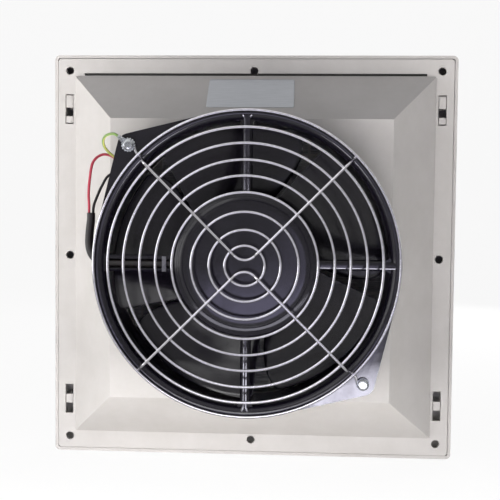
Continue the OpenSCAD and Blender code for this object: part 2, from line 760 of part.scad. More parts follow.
// Pressed sheet blade number n, closed at its four edges
module blade(n) {
    rows = blade_rows;
    cols = blade_columns;
    points = [for (side = [-1, 1], i = [0 : rows], j = [0 : cols]) blade_point(i / rows, j / cols, side)];
    top = (rows + 1) * (cols + 1);
    function at(i, j) = i * (cols + 1) + j;
    rim = concat(
        [for (j = [0 : cols - 1]) at(0, j)], [for (i = [0 : rows - 1]) at(i, cols)],
        [for (j = [cols : -1 : 1]) at(rows, j)], [for (i = [rows : -1 : 1]) at(i, 0)]);
    faces = concat(
        [for (i = [0 : rows - 1], j = [0 : cols - 1]) each [
            [at(i, j), at(i + 1, j), at(i + 1, j + 1)], [at(i, j), at(i + 1, j + 1), at(i, j + 1)],
            [top + at(i, j), top + at(i + 1, j + 1), top + at(i + 1, j)],
            [top + at(i, j), top + at(i, j + 1), top + at(i + 1, j + 1)]]],
        [for (k = [0 : len(rim) - 1]) let (a = rim[k], b = rim[(k + 1) % len(rim)])
            each [[a, b, top + b], [a, top + b, top + a]]]);
    color("#1B1A1F") facing() rotate(n * 360 / blade_count) polyhedron(points, faces, convexity = 4);
}

// Nine welded rings: eight in front and the outer one low over the rim
module guard_rings() {
    color("#D8DADD") facing() {
        for (r = ring_radii) wire_ring(r, ring_plane);
        wire_ring(outer_ring_r, outer_ring);
    }
}

module wire_ring(r, h) {
    translate([0, 0, h]) rotate_extrude($fn = 180) translate([r, 0]) circle(wire_r, $fn = 24);
}

// Height of a spoke wire at distance s from the middle: high over the rings, then an S-shaped ramp
function smooth(t) = t * t * (3 - 2 * t);
function spoke_height(s) =
    low_wire + guard_rise * smooth(min(1, max(0, (ramp_out_r - s) / (ramp_out_r - ramp_in_r))));
function arm_point(s, a) = [s * cos(a), s * sin(a), spoke_height(s)];
// Distances along an arm from the middle outwards, close together on the ramp
function arm_stops() = concat(
    [spoke_bend_r + 4, (spoke_bend_r + ramp_in_r) / 2],
    [for (i = [0 : 8]) ramp_in_r + (ramp_out_r - ramp_in_r) * i / 8]);

// A spoke wire: eyelet round the ear screw, arm at 135 degrees, bend, arm at 45 degrees
function spoke_route() = let (e = [-ear_x, ear_x, low_wire], stops = arm_stops(), n = len(stops)) concat(
    [for (a = [325 : -15 : 55]) e + eyelet_r * [cos(a - 45), sin(a - 45), 0]],
    [arm_point(ear_hole_r - 2 * eyelet_r, 135)],
    [for (i = [n - 1 : -1 : 0]) arm_point(stops[i], 135)],
    [for (a = [225 : 11.25 : 315])
        [spoke_bend_r * cos(a), spoke_bend_r * (sqrt(2) + sin(a)), high_wire]],
    [for (i = [0 : n - 1]) arm_point(stops[i], 45)],
    [arm_point(outer_ring_r + wire_r * 0.8, 45)]);

// Two bent wires cross the rings, one turned half a circle from the other
module guard_wires() {
    color("#DCDEE1") facing() for (a = [0, 180]) rotate(a) swept_round(spoke_route(), wire_d, 12);
}

// Fan screws through guard eyelets, ears and plateau
module fan_screws() {
    tip = plateau_h - base_wall - washer_t - nut_h - 2;
    seat = ear_stack + washer_t;
    color("#C4C7CB") facing() at_ears() difference() {
        union() {
            translate([0, 0, tip]) cylinder(seat - tip + 1, d = thread_d, $fn = 48);
            translate([0, 0, seat]) rotate_extrude($fn = 64) polygon(concat(
                [[0, 0], [head_d / 2, 0]],
                [for (a = [0 : 15 : 90])
                    [head_d / 2 - 2 + 2 * cos(a), head_h - 2 + 2 * sin(a)]],
                [[0, head_h]]));
        }
        for (a = [0, 90]) translate([0, 0, seat + head_h]) rotate(a + 20)
            cube([4.4, 0.9, 3], center = true);
    }
}

module washer(h) {
    translate([0, 0, h]) difference() {
        cylinder(washer_t, d = washer_d, $fn = 60);
        translate([0, 0, -1]) cylinder(washer_t + 2, d = thread_d + 0.4, $fn = 48);
    }
}

// Washer under the screw head on the lower ear; the upper ear has the earth lug there
module head_washer() {
    color("#C4C7CB") facing() translate([ears[1][0], ears[1][1], 0]) washer(ear_stack);
}

module plate_washers() {
    color("#C4C7CB") facing() at_ears() washer(plateau_h - base_wall - washer_t);
}

module fan_nuts() {
    color("#C4C7CB") facing() at_ears()
        translate([0, 0, plateau_h - base_wall - washer_t - nut_h]) difference() {
            cylinder(nut_h, d = nut_af / cos(30), $fn = 6);
            translate([0, 0, -1]) cylinder(nut_h + 2, d = thread_d + 2 * run_gap, $fn = 48);
        }
}

// Ring terminal of the earth lead, with its crimped barrel
module earth_lug() {
    color("#D5D7DA") facing() translate([ears[0][0], ears[0][1], ear_stack]) {
        washer(0);
        rotate(140) difference() {
            translate([washer_d / 2 - 1.6, -1.8, 0]) cube([3.4, 3.6, washer_t]);
            translate([0, 0, -1]) cylinder(3, d = thread_d + 0.4, $fn = 48);
        }
        rotate(140) translate([washer_d / 2 + 0.6, 0, washer_t + 0.2]) rotate([0, 90, 0])
            cylinder(4.4, d = 3, $fn = 32);
    }
}

// Three-pole terminal block on the plateau, tucked in behind the upper left ear
module at_terminal() {
    rotate(terminal_angle) translate([barrel_r + terminal_gap + terminal_w / 2, 0, plateau_h]) children();
}

module terminal_block() {
    l = terminal_l;
    w = terminal_w;
    h = terminal_h;
    color("#23262B") facing() at_terminal() difference() {
        union() {
            translate([-w / 2, -l / 2, 0]) cube([w, l, h]);
            for (s = [-1, 1]) translate([-w / 2, s * l / 2 - 1, 0]) cube([w, 2, 3]);
        }
        for (i = [-1, 0, 1]) translate([w / 4, i * l / 3, h - 5]) cylinder(6, d = 2.6, $fn = 32);
    }
}

module terminal_screws() {
    color("#C4C7CB") facing() at_terminal() for (i = [-1, 0, 1])
        translate([terminal_w / 4, i * terminal_l / 3, terminal_h - 5]) difference() {
            cylinder(4, d = 2.5, $fn = 32);
            translate([0, 0, 4]) cube([0.6, 4, 1.6], center = true);
        }
}

// Spring clip that holds the sleeve in its channel
module lead_clip() {
    color("#C9CBCE") facing() translate([-cap_d / 2 - 7, channel_offset, strut_front]) {
        translate([0, 0, 0.4]) cube([3, lead_strut_w - 1.5, 0.8], center = true);
        for (s = [-1, 1]) translate([0, s * (channel_w / 2 - 0.4), -1])
            cube([3, 0.6, 2.2], center = true);
    }
}

function unit(v) = v / norm(v);
// Direction of a route at point i, halfway between its two neighbours
function heading(p, i) =
    i == 0 ? unit(p[1] - p[0])
    : i == len(p) - 1 ? unit(p[i] - p[i - 1])
    : unit(unit(p[i + 1] - p[i]) + unit(p[i] - p[i - 1]));
// The side direction n carried on to heading t without twist
function carried(n, t) = unit(n - (n * t) * t);
function side_directions(p) = [
    for (i = 0, n = unit(cross(heading(p, 0), [0.3, 0.2, 1]));
         i < len(p);
         i = i + 1, n = i < len(p) ? carried(n, heading(p, i)) : n) n
];

// A round lead or wire of diameter d swept along a route
module swept_round(route, d, sides) {
    dirs = side_directions(route);
    points = [for (i = [0 : len(route) - 1], k = [0 : sides - 1])
        let (t = heading(route, i), n = dirs[i], b = cross(t, n), a = k * 360 / sides)
        route[i] + d / 2 * (cos(a) * n + sin(a) * b)];
    last = (len(route) - 1) * sides;
    faces = concat(
        [[for (k = [0 : sides - 1]) k]],
        [[for (k = [sides - 1 : -1 : 0]) last + k]],
        [for (i = [0 : len(route) - 2], k = [0 : sides - 1])
            let (a = i * sides + k, b = i * sides + (k + 1) % sides)
            each [[a, a + sides, b + sides], [a, b + sides, b]]]);
    polyhedron(points, faces, convexity = 6);
}

module lead_red() {
    color("#C8304A") swept_round(fitted(red_route), lead_d, 8);
}

module lead_black() {
    color("#1A1719") swept_round(fitted(black_route), lead_d, 8);
}

module lead_earth() {
    color("#B9C23A") swept_round(fitted(earth_route), lead_d, 8);
}

module lead_sleeve() {
    color("#241C1A") swept_round(fitted(sleeve_route), sleeve_d, 12);
}

// A sloping louvre slat, its outer edge lower than its inner one
module louvre_slat(field) {
    run = louvre_depth * 0.75;
    along_x(field) polygon([
        [-run / 2, cover_face], [-run / 2 + louvre_t * 1.3, cover_face],
        [run / 2 + louvre_t * 1.3, cover_face + louvre_depth], [run / 2, cover_face + louvre_depth]
    ]);
}

// Twin prongs of an upper snap, or the single tongue of a lower one
module snap_hook(upper) {
    post = window_w - 3;
    reach = window_l / 2 - 1;
    prongs = upper ? [[-reach, reach - 5.8], [1.4, reach - 1.4]] : [[-3.6, 7.2]];
    for (p = prongs) translate([0, p[0], 0]) {
        translate([-window_w / 2 + 0.5, 0, cover_inner - eps])
            cube([post, p[1], -0.4 - cover_inner]);
        rotate([90, 0, 0]) translate([0, 0, -p[1]]) linear_extrude(p[1])
            polygon([
                [window_w / 2 - 2.6, -3.4], [window_w / 2 - 0.6, -1.6],
                [window_w / 2 - 0.6, -0.9], [window_w / 2 - 2.6, -0.4]
            ]);
    }
}

// Louvred cover: face, rim, slats, mat frame and four snap hooks in one moulding
module louvre_cover() {
    field = louvre_half;
    pitch = 2 * louvre_half / louvre_count;
    frame_in = mat_half + soft_gap;
    color("#BDBAB0") facing() {
        difference() {
            union() {
                difference() {
                    translate([0, 0, cover_face]) linear_extrude(rim_edge - cover_face)
                        rounded_square(cover_w / 2, cover_corner_r);
                    translate([0, 0, cover_inner]) linear_extrude(through)
                        rounded_square(cover_w / 2 - cover_wall, cover_corner_r - cover_wall);
                }
                translate([0, 0, cover_inner - eps])
                    square_ring(frame_in + mat_frame_t, frame_in, mat_frame_h + eps);
            }
            translate([0, 0, cover_face - 1]) linear_extrude(cover_wall + 2)
                square(2 * field, center = true);
        }
        for (i = [0 : louvre_count - 1])
            translate([0, (i + 0.5) * pitch - field, 0]) louvre_slat(2 * field + 1);
        for (s = [-1, 1]) translate([s * field / 3 - tie_bar_w / 2, -field - 0.5, cover_face + 1.5])
            cube([tie_bar_w, 2 * field + 1, louvre_depth - 3]);
        for (x = [-1, 1], y = [-1, 1])
            translate([x * window_x, y * window_z, 0]) scale([-x, 1, 1])
                snap_hook(y > 0);
    }
}

// Fibre filter mat, held in the cover's frame
module filter_mat() {
    color("#E4E2DA") facing() translate([0, 0, mat_top - mat_t]) linear_extrude(mat_t)
        square(2 * mat_half, center = true);
}

base_frame();
mat_grid();
rating_plate();
fan_frame();
motor_cover();
bearing_tube();
stator_core();
stator_windings();
bearing_outer_races();
bearing_balls();
guard_rings();
guard_wires();
fan_screws();
head_washer();
plate_washers();
fan_nuts();
earth_lug();
terminal_block();
terminal_screws();
lead_clip();
lead_red();
lead_black();
lead_earth();
lead_sleeve();
rotor_shaft();
rotor_cup();
cage_ring();
bearing_inner_races();
shaft_circlip();
preload_washer();
blade(0);  // blade_1
blade(1);  // blade_2
blade(2);  // blade_3
blade(3);  // blade_4
blade(4);  // blade_5
louvre_cover();
filter_mat();
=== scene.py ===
# %% [markdown]
# # A filter fan for a cabinet wall
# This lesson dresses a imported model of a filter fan: a round axial fan on a moulded funnel,
# behind a chromed wire guard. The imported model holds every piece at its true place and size, so
# nothing here is moved or resized. Each step says what a piece is on the real fan, how it could
# be made, and why it is made this way.

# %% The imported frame
import json
import math

import bmesh
import bpy
import numpy as np
from mathutils import Matrix, Vector

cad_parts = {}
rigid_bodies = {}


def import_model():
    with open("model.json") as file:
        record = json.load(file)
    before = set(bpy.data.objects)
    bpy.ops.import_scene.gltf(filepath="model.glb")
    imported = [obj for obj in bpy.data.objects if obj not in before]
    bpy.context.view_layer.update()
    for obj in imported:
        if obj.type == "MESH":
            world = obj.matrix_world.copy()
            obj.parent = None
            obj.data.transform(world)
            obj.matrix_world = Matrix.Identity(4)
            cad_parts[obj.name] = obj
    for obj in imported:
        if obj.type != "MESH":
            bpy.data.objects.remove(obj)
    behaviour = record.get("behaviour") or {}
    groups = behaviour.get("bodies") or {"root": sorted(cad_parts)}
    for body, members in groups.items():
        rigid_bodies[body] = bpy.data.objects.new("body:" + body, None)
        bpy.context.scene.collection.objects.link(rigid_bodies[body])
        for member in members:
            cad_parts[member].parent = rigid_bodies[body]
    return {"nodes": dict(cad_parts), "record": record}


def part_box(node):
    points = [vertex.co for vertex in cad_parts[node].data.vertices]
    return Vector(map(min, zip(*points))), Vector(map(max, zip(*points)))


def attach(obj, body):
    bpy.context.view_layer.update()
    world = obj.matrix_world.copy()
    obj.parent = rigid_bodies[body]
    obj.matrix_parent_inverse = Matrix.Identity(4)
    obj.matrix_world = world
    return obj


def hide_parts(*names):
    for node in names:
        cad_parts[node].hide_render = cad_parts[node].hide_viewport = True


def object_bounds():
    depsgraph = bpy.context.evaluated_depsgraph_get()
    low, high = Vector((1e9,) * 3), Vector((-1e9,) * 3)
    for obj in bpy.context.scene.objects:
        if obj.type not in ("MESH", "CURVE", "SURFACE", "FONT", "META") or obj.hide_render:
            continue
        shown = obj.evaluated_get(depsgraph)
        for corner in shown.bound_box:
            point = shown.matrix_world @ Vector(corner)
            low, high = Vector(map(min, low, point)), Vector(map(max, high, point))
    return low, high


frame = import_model()
nodes = frame["nodes"]
scene = bpy.context.scene
cad_low, cad_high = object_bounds()
MM = 0.001
print("nodes", len(nodes), "size in mm", [round(x / MM, 1) for x in cad_high - cad_low])

# %% [markdown]
# ## The camera
# The photograph looks at the front from a little to the right of the fan's axis and a little
# above it. The place and the three turns were found by matching the corners of the cover, the
# screw holes and the ears of the fan, whose distances are known. A camera at that place gives the
# same perspective, which no later crop or scale could.

# %% Camera
CAMERA_PLACE = np.array([37.4, -727.7, 41.8]) * MM
TURNS = (("Z", -0.73), ("Y", -3.10), ("X", 2.83))  # roll, pan and pitch in degrees
FOCAL_PIXELS = 898.4
IMAGE_SIDE = 500
SENSOR = 36.0

camera_data = bpy.data.cameras.new("camera")
camera_data.sensor_width = SENSOR
camera_data.lens = SENSOR * FOCAL_PIXELS / IMAGE_SIDE
camera = bpy.data.objects.new("camera", camera_data)
scene.collection.objects.link(camera)
scene.camera = camera
roll, pan, pitch = (Matrix.Rotation(math.radians(angle), 3, axis) for axis, angle in TURNS)
upright = Matrix(((1, 0, 0), (0, 0, 1), (0, -1, 0)))
to_view = roll @ pan @ pitch @ upright
camera.matrix_world = Matrix.Translation(CAMERA_PLACE) @ to_view.transposed().to_4x4()
print("lens", round(camera_data.lens, 1), "mm")

# %% [markdown]
# ## Surfaces from numbers
# A wire, a blade or a pad could be modelled by hand from a primitive. Here each one is a grid of
# points from a formula instead: rows run along the piece and columns run round it. One function
# joins the grid into faces and lays out a UV map in millimetres, so that every pattern on it
# keeps its real scale.

# %% Grid helper
def surface(name, points, wrap=(False, False), size=(1.0, 1.0), caps=False):
    """A mesh of points[row, column]. Each face joins a point with the next row and the next column,
    and a wrapped direction joins its last points to its first. size is the length that the UV map
    spans along the rows and along the columns. caps closes the first and last row."""
    rows, columns = points.shape[:2]
    row_steps, column_steps = rows - (not wrap[0]), columns - (not wrap[1])
    i, j = np.indices((row_steps, column_steps)).reshape(2, -1)
    corner_i = np.stack([i, i + 1, i + 1, i], 1)
    corner_j = np.stack([j, j, j + 1, j + 1], 1)
    faces = ((corner_i % rows) * columns + corner_j % columns).tolist()
    uv = np.stack([corner_i * size[0] / row_steps, corner_j * size[1] / column_steps], -1)
    uv = uv.reshape(-1, 2)
    if caps:
        faces += [list(range(columns)), list(range((rows - 1) * columns, rows * columns))]
        uv = np.vstack([uv, np.zeros((2 * columns, 2))])
    smooth = np.arange(len(faces)) < row_steps * column_steps
    mesh = bpy.data.meshes.new(name)
    mesh.from_pydata(points.reshape(-1, 3), [], faces)
    mesh.uv_layers.new(name="UVMap").data.foreach_set("uv", uv.ravel())
    mesh.polygons.foreach_set("use_smooth", smooth)
    return placed(name, mesh)


def placed(name, mesh):
    """Turns every face of the mesh outwards and puts it into the scene, at the origin."""
    bm = bmesh.new()
    bm.from_mesh(mesh)
    bmesh.ops.recalc_face_normals(bm, faces=bm.faces)
    bm.to_mesh(mesh)
    bm.free()
    piece = bpy.data.objects.new(name, mesh)
    scene.collection.objects.link(piece)
    print(name, len(mesh.polygons), "faces")
    return piece


def closed(name, rings, length=1.0):
    """A closed piece through rings of points, whose UV map spans length across them."""
    return surface(name, rings, (False, True), (length, 1.0), caps=True)

# %% [markdown]
# Wires and leads are round sections carried along a path. The path's few points are joined by a
# smooth cubic, and each ring is turned from the one before by the least angle, so that the tube
# doesn't twist on its way.

# %% Tube helpers
def smooth_route(points, steps):
    """Between two points the route is the cubic that passes through both and leaves each of them
    along the line that joins its two neighbours."""
    points = np.asarray(points, float)
    padded = np.vstack([2 * points[0] - points[1], points, 2 * points[-1] - points[-2]])
    a, b, c, d = padded[:-3], padded[1:-2], padded[2:-1], padded[3:]
    t = np.linspace(0, 1, steps, endpoint=False)[:, None, None]
    square, cube = 2 * a - 5 * b + 4 * c - d, 3 * b - a - 3 * c + d
    cubic = 2 * b + (c - a) * t + square * t**2 + cube * t**3
    return np.vstack([cubic.transpose(1, 0, 2).reshape(-1, 3) / 2, points[-1:]])


def length_of(route):
    return float(np.linalg.norm(np.diff(route, axis=0), axis=1).sum())


def rings_along(route, radius, sides):
    """A ring of radius times (cosine, sine) stands across the route at each of its points. Its two
    directions are the last ring's, less their part along the route."""
    along = np.gradient(route, axis=0)
    along /= np.linalg.norm(along, axis=1, keepdims=True)
    across = np.empty_like(along)
    guess = np.array([0.3, 0.2, 1.0])  # no route starts in this direction
    for k, direction in enumerate(along):
        guess = guess - direction * (guess @ direction)
        guess /= np.linalg.norm(guess)
        across[k] = guess
    second = np.cross(along, across)
    angle = np.linspace(0, 2 * np.pi, sides, endpoint=False)[None, :, None]
    ring = np.cos(angle) * across[:, None] + np.sin(angle) * second[:, None]
    return route[:, None] + radius * ring

# %% [markdown]
# ## Leads and sleeve
# The motor's two leads leave the hub in a black sleeve, which lies in the wide left strut and
# comes out through a hole in the duct. It turns up beside the fan, and there the red and the
# black lead come out of it and bend over to the terminals behind the upper ear. The earth lead
# runs from the lug on that ear to the same terminals. A simulation could lay them, but the
# photograph shows just where each one bends, so their routes are chosen point by point.

# %% Routes
RED = [
    (-94.6, -56.5, 66.2), (-94.6, -58.3, 66.3), (-94.8, -60.1, 67.1), (-95.2, -61.3, 68.8),
    (-96, -61.8, 71.1), (-97.2, -62.1, 73.3), (-99, -62.5, 75.2), (-101.5, -63.3, 77),
    (-104.7, -64.5, 78.4), (-108.2, -66, 78.6), (-111.2, -67.7, 77.2), (-113.3, -69.5, 75),
    (-114.6, -71.1, 72.6), (-115.3, -72.5, 69.5), (-115.7, -73.8, 65.8), (-115.9, -74.9, 62.1),
    (-116.1, -76, 58.3), (-116.2, -77.1, 54.6), (-116.2, -78, 50.8), (-116, -78.9, 47),
    (-115.6, -79.6, 43.2), (-115.4, -80, 39.3), (-115.4, -80, 35.4),
]
BLACK = [
    (-97.5, -56.5, 62.1), (-97.5, -58.4, 62.1), (-97.8, -60.3, 62.6), (-98.8, -62.3, 63.6),
    (-100.8, -64.5, 64.3), (-103.2, -66.5, 63.5), (-105.1, -68.2, 61.4), (-106.4, -69.8, 58.7),
    (-107.5, -71.3, 55.9), (-108.6, -72.8, 53.2), (-109.5, -74.3, 50.4), (-110.4, -75.8, 47.5),
    (-111.2, -77.3, 44.6), (-111.9, -78.7, 41.8), (-112.3, -79.7, 38.7), (-112.4, -80, 35.4),
]
EARTH = [
    (-91.3, -94.6, 90.1), (-93.9, -94.6, 91.6), (-97, -93.3, 91.7), (-99.7, -91.2, 91.1),
    (-101.7, -88.5, 90.4), (-103.3, -85.6, 89.3), (-104.5, -82.7, 87.8), (-105.1, -79.8, 86.1),
    (-105.1, -76.9, 84.1), (-104.6, -74.2, 82.4), (-103.5, -71.7, 80.6), (-102, -69.5, 78.9),
    (-100.1, -67.5, 77.2), (-97.9, -65.8, 75.5), (-95.6, -64.3, 73.7), (-93.3, -62.7, 71.7),
    (-91.8, -59.9, 70.4), (-91.7, -56.5, 70.3),
]
SLEEVE = [
    (-113.9, -80, 35.4), (-113.9, -80, 30.9), (-114.4, -80, 26.5), (-114.9, -80, 22),
    (-115.2, -80.2, 17.5), (-115.1, -80.7, 13.1), (-114.3, -81.4, 9), (-112.7, -82.2, 5.4),
    (-110, -82.9, 2.3), (-106.4, -83.4, 0.3), (-102.2, -83.6, -0.5), (-97, -83.6, -0.6),
    (-86, -83.6, -0.6), (-75, -83.6, -0.6), (-64, -83.6, -0.6), (-52.2, -83.6, -0.6),
]
LEAD_D = 2.0 * MM
SLEEVE_D = 6.0 * MM

# %% Cords
cords = {}
# name, route from where the cord leaves, diameter, what its far end is in
for name, route, diameter, far_end in (
    ("lead_sleeve", SLEEVE[::-1], SLEEVE_D, "bare"),
    ("lead_red", RED[::-1], LEAD_D, "object"),
    ("lead_black", BLACK[::-1], LEAD_D, "object"),
    ("lead_earth", EARTH, LEAD_D, "object"),
):
    path = smooth_route(np.array(route) * MM, steps=5)
    piece = closed(name + "_skin", rings_along(path, diameter / 2, sides=24), length_of(path))
    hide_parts(name)
    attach(piece, "unit")
    cords[name] = piece
    print(name, "length in mm", round(length_of(path) / MM, 1))

# %% [markdown]
# ## How materials are written
# Each material is a small tree of nodes that ends in the Principled shader. Colours are written
# as the sRGB hex values that a paint program shows, and one function turns them into the linear
# light that the shader reckons with. Patterns are sized in millimetres: the Object coordinates
# are metres, so a noise with a scale of 1000 / 2 has features about 2 mm across.

# %% Material helpers
# The Mix node has sockets for numbers, vectors and colours. These are the places of its colours.
COLOUR_A, COLOUR_B, MIXED = 6, 7, 2


def linear(code):
    """Linear red, green and blue, and alpha 1, of an sRGB hex colour: below 0.04045 a share is
    divided by 12.92, and above it (share + 0.055) / 1.055 is raised to the power 2.4."""
    share = np.array([int(code[k : k + 2], 16) for k in (1, 3, 5)]) / 255
    light = np.where(share <= 0.04045, share / 12.92, ((share + 0.055) / 1.055) ** 2.4)
    return (*light.tolist(), 1.0)


def per_mm(size):
    """Scale of a pattern whose features are that many millimetres across."""
    return 1 / (size * MM)


def add(material, kind, inputs=None, stops=(), **settings):
    """Adds one node. inputs gives its sockets: each is a value, an output socket of another node
    or a node, which stands for its first output. settings are its own properties, and stops are
    the places and hex colours of a colour ramp."""
    node = material.node_tree.nodes.new("ShaderNode" + kind)
    for key, value in settings.items():
        setattr(node, key, value)
    for k, (place, code) in enumerate(stops):
        stop = node.color_ramp.elements[k]
        stop.position, stop.color = place, linear(code)
    for key, value in (inputs or {}).items():
        if isinstance(value, bpy.types.Node):
            value = value.outputs[0]
        if isinstance(value, bpy.types.NodeSocket):
            material.node_tree.links.new(value, node.inputs[key])
        else:
            node.inputs[key].default_value = value
    return node


def new_material(name):
    material = bpy.data.materials.new(name)
    material.use_nodes = True
    material.node_tree.nodes.clear()
    return material


def started(name):
    """A new material and its Object coordinates, a place on the piece in metres."""
    material = new_material(name)
    return material, add(material, "TexCoord").outputs["Object"]


def finish(material, **sockets):
    """Ends the material in a Principled shader with the sockets given, such as Base_Color."""
    inputs = {key.replace("_", " "): value for key, value in sockets.items()}
    shader = add(material, "BsdfPrincipled", inputs)
    add(material, "OutputMaterial", {"Surface": shader})
    return material

# %% [markdown]
# ### Moulded ABS
# Base, grid and cover are ABS, injection moulded in the light warm grey of cabinet fittings. The
# tool's spark-eroded faces leave a very fine grain that softens the gloss, and the sheet is never
# quite flat, so reflections waver a little. One noise gives the grain and one the waviness, and a
# third shifts the grey by a hair, as dust and handling do. Where a piece carries the groove's
# attribute, the plastic is painted dark as shade: that is only the narrow groove above the funnel.

# %% Moulded ABS
def moulded_abs():
    material, place = started("moulded_abs")
    grain = add(material, "TexNoise", {"Vector": place, "Scale": per_mm(0.7), "Detail": 3.0})
    wave = add(material, "TexNoise", {"Vector": place, "Scale": per_mm(45), "Detail": 1.0})
    dust = add(material, "TexNoise", {"Vector": place, "Scale": per_mm(30), "Detail": 6.0,
                                      "Roughness": 0.7})
    grey = add(material, "ValToRGB", {"Fac": dust}, stops=((0.3, "#BDB9B5"), (0.7, "#C6C2BF")))
    # The groove's attribute mixes in a dark grey-brown: painted shade in the groove.
    painted_groove_shade = add(material, "Attribute", attribute_name="dust")
    colour = add(material, "Mix", {"Factor": painted_groove_shade.outputs["Fac"], COLOUR_A: grey,
                                   COLOUR_B: linear("#22211C")}, data_type="RGBA")
    gloss = add(material, "MapRange", {"Value": dust, "To Min": 0.34, "To Max": 0.46})
    wavy = add(material, "Bump", {"Height": wave, "Strength": 0.25, "Distance": 0.4 * MM})
    skin = add(material, "Bump", {"Height": grain, "Strength": 0.12, "Distance": 0.05 * MM,
                                  "Normal": wavy})
    return finish(material, Base_Color=colour.outputs[MIXED], Roughness=gloss, Normal=skin,
                  IOR=1.53)

# %% [markdown]
# ### Black enamel
# The fan's frame is cast and coated with a thick glossy black enamel. The coat flows before it
# sets, which leaves the soft dimples called orange peel, a few millimetres across, and they make
# every reflection ripple. The rotor and the blades are sheet steel under a thinner coat of the
# same black, with a finer peel and a little less gloss.

# %% Black enamel
SMEARED = 0.14  # how much rougher the coat is where hands have smeared it


def black_enamel(name, colour, peel_mm, depth_mm, roughness):
    material, place = started(name)
    peel = add(material, "TexNoise", {"Vector": place, "Scale": per_mm(peel_mm), "Detail": 2.0})
    smear = add(material, "TexNoise", {"Vector": place, "Scale": per_mm(22), "Detail": 5.0,
                                       "Roughness": 0.65})
    gloss = add(material, "MapRange", {"Value": smear, "From Min": 0.35, "From Max": 0.7,
                                       "To Min": roughness, "To Max": roughness + SMEARED})
    ripple = add(material, "Bump", {"Height": peel, "Strength": 0.5, "Distance": depth_mm * MM})
    return finish(material, Base_Color=linear(colour), Roughness=gloss, Normal=ripple, IOR=1.5)

# %% [markdown]
# ### Bright metals
# The guard is steel wire, drawn, welded and chromed: it mirrors the room, and only the faint
# lines of the drawing die soften it. Screws, washers and lugs are zinc plated, which is greyer
# and rougher and has a slightly blue, cloudy bloom. Races, balls and shaft are ground bearing
# steel. One recipe serves all three, with its own colour, roughness and grain. Metals keep the
# default IOR, because their colour already says how they reflect.

# %% Bright metals
CLOUDED = 1.6  # how many times rougher the cloudy places are


def bright_metal(name, light, dark, roughness, grain_mm, depth_mm):
    material, place = started(name)
    cloud = add(material, "TexNoise", {"Vector": place, "Scale": per_mm(3), "Detail": 4.0})
    fine = add(material, "TexNoise", {"Vector": place, "Scale": per_mm(grain_mm), "Detail": 2.0})
    tint = add(material, "ValToRGB", {"Fac": cloud}, stops=((0.35, dark), (0.65, light)))
    gloss = add(material, "MapRange", {"Value": cloud, "From Min": 0.3, "From Max": 0.7,
                                       "To Min": roughness, "To Max": roughness * CLOUDED})
    skin = add(material, "Bump", {"Height": fine, "Strength": 0.3, "Distance": depth_mm * MM})
    return finish(material, Base_Color=tint, Metallic=1.0, Roughness=gloss, Normal=skin)

# %% [markdown]
# ### Inside the motor
# The stator and the ring in the rotor are stacks of punched steel sheets, half a millimetre
# thick, so fine lines run round them. The winding is copper wire under a brown enamel, and each
# turn shows as a round ridge. Both patterns are wave textures: sheets across the axis, turns
# round the slots. A wave texture gains 20 radians over one unit, so that dividing by 20 alone
# draws sheets and turns about six times as coarse as they are, and only then do they show.

# %% Laminations and winding
SHEET_PITCH = 0.5
WIRE_PITCH = 0.8
WAVE_RADIANS = 20


def laminated_steel():
    material, place = started("laminated_steel")
    sheets = add(material, "TexWave", {"Vector": place,
                                       "Scale": per_mm(SHEET_PITCH) / WAVE_RADIANS},
                 wave_type="BANDS", bands_direction="Y")
    rust = add(material, "TexNoise", {"Vector": place, "Scale": per_mm(2.5), "Detail": 5.0})
    tint = add(material, "ValToRGB", {"Fac": rust}, stops=((0.35, "#5C5B5A"), (0.7, "#8B8C8E")))
    lines = add(material, "Bump", {"Height": sheets.outputs["Fac"], "Strength": 0.6,
                                   "Distance": 0.08 * MM})
    return finish(material, Base_Color=tint, Metallic=1.0, Roughness=0.42, Normal=lines)


def enamelled_copper():
    material, place = started("enamelled_copper")
    turns = add(material, "TexWave", {"Vector": place, "Scale": per_mm(WIRE_PITCH) / WAVE_RADIANS,
                                      "Distortion": 1.2, "Detail": 1.0},
                wave_type="RINGS", rings_direction="Y")
    tint = add(material, "ValToRGB", {"Fac": turns.outputs["Fac"]},
               stops=((0.0, "#5A2412"), (0.6, "#B5673A")))
    ridges = add(material, "Bump", {"Height": turns.outputs["Fac"], "Strength": 0.8,
                                    "Distance": 0.25 * MM})
    return finish(material, Base_Color=tint, Metallic=0.7, Roughness=0.3, Normal=ridges)

# %% [markdown]
# ### Lead insulation
# The leads are PVC: smooth, waxy and softly glossy, with a slight unevenness from the extruder.
# The earth lead's green and yellow run side by side along it, each over about half of its girth,
# so the colour follows the UV map's direction round the lead. The sleeve is PVC tubing, a little
# dull and drawn into shallow ripples where it bends.

# %% Lead insulation
def lead_pvc(name, colour, stripe=None, ripple_mm=1.5, roughness=0.32):
    material, place = started(name)
    uneven = add(material, "TexNoise", {"Vector": place, "Scale": per_mm(ripple_mm), "Detail": 2.0})
    skin = add(material, "Bump", {"Height": uneven, "Strength": 0.25, "Distance": 0.12 * MM})
    base = linear(colour)
    if stripe:
        girth = add(material, "SeparateXYZ", {"Vector": add(material, "TexCoord").outputs["UV"]})
        half = add(material, "Math", {0: girth.outputs["Y"], 1: 0.5}, operation="GREATER_THAN")
        base = add(material, "Mix", {"Factor": half, COLOUR_A: linear(colour),
                                     COLOUR_B: linear(stripe)}, data_type="RGBA").outputs[MIXED]
    return finish(material, Base_Color=base, Roughness=roughness, Normal=skin, IOR=1.53)

# %% [markdown]
# ### Terminal plastic, label foil and filter fibre
# The terminal block is grey-black polyamide with a dull, faintly mottled skin. The label is a
# matt silver foil, brushed from side to side, and it is left blank. The filter mat is a fleece of
# white polyester fibres: crossed streaks of noise stand for the fibres, drawn about three times
# as coarse as they are so that they show, and the grey of caught dust lies between them.

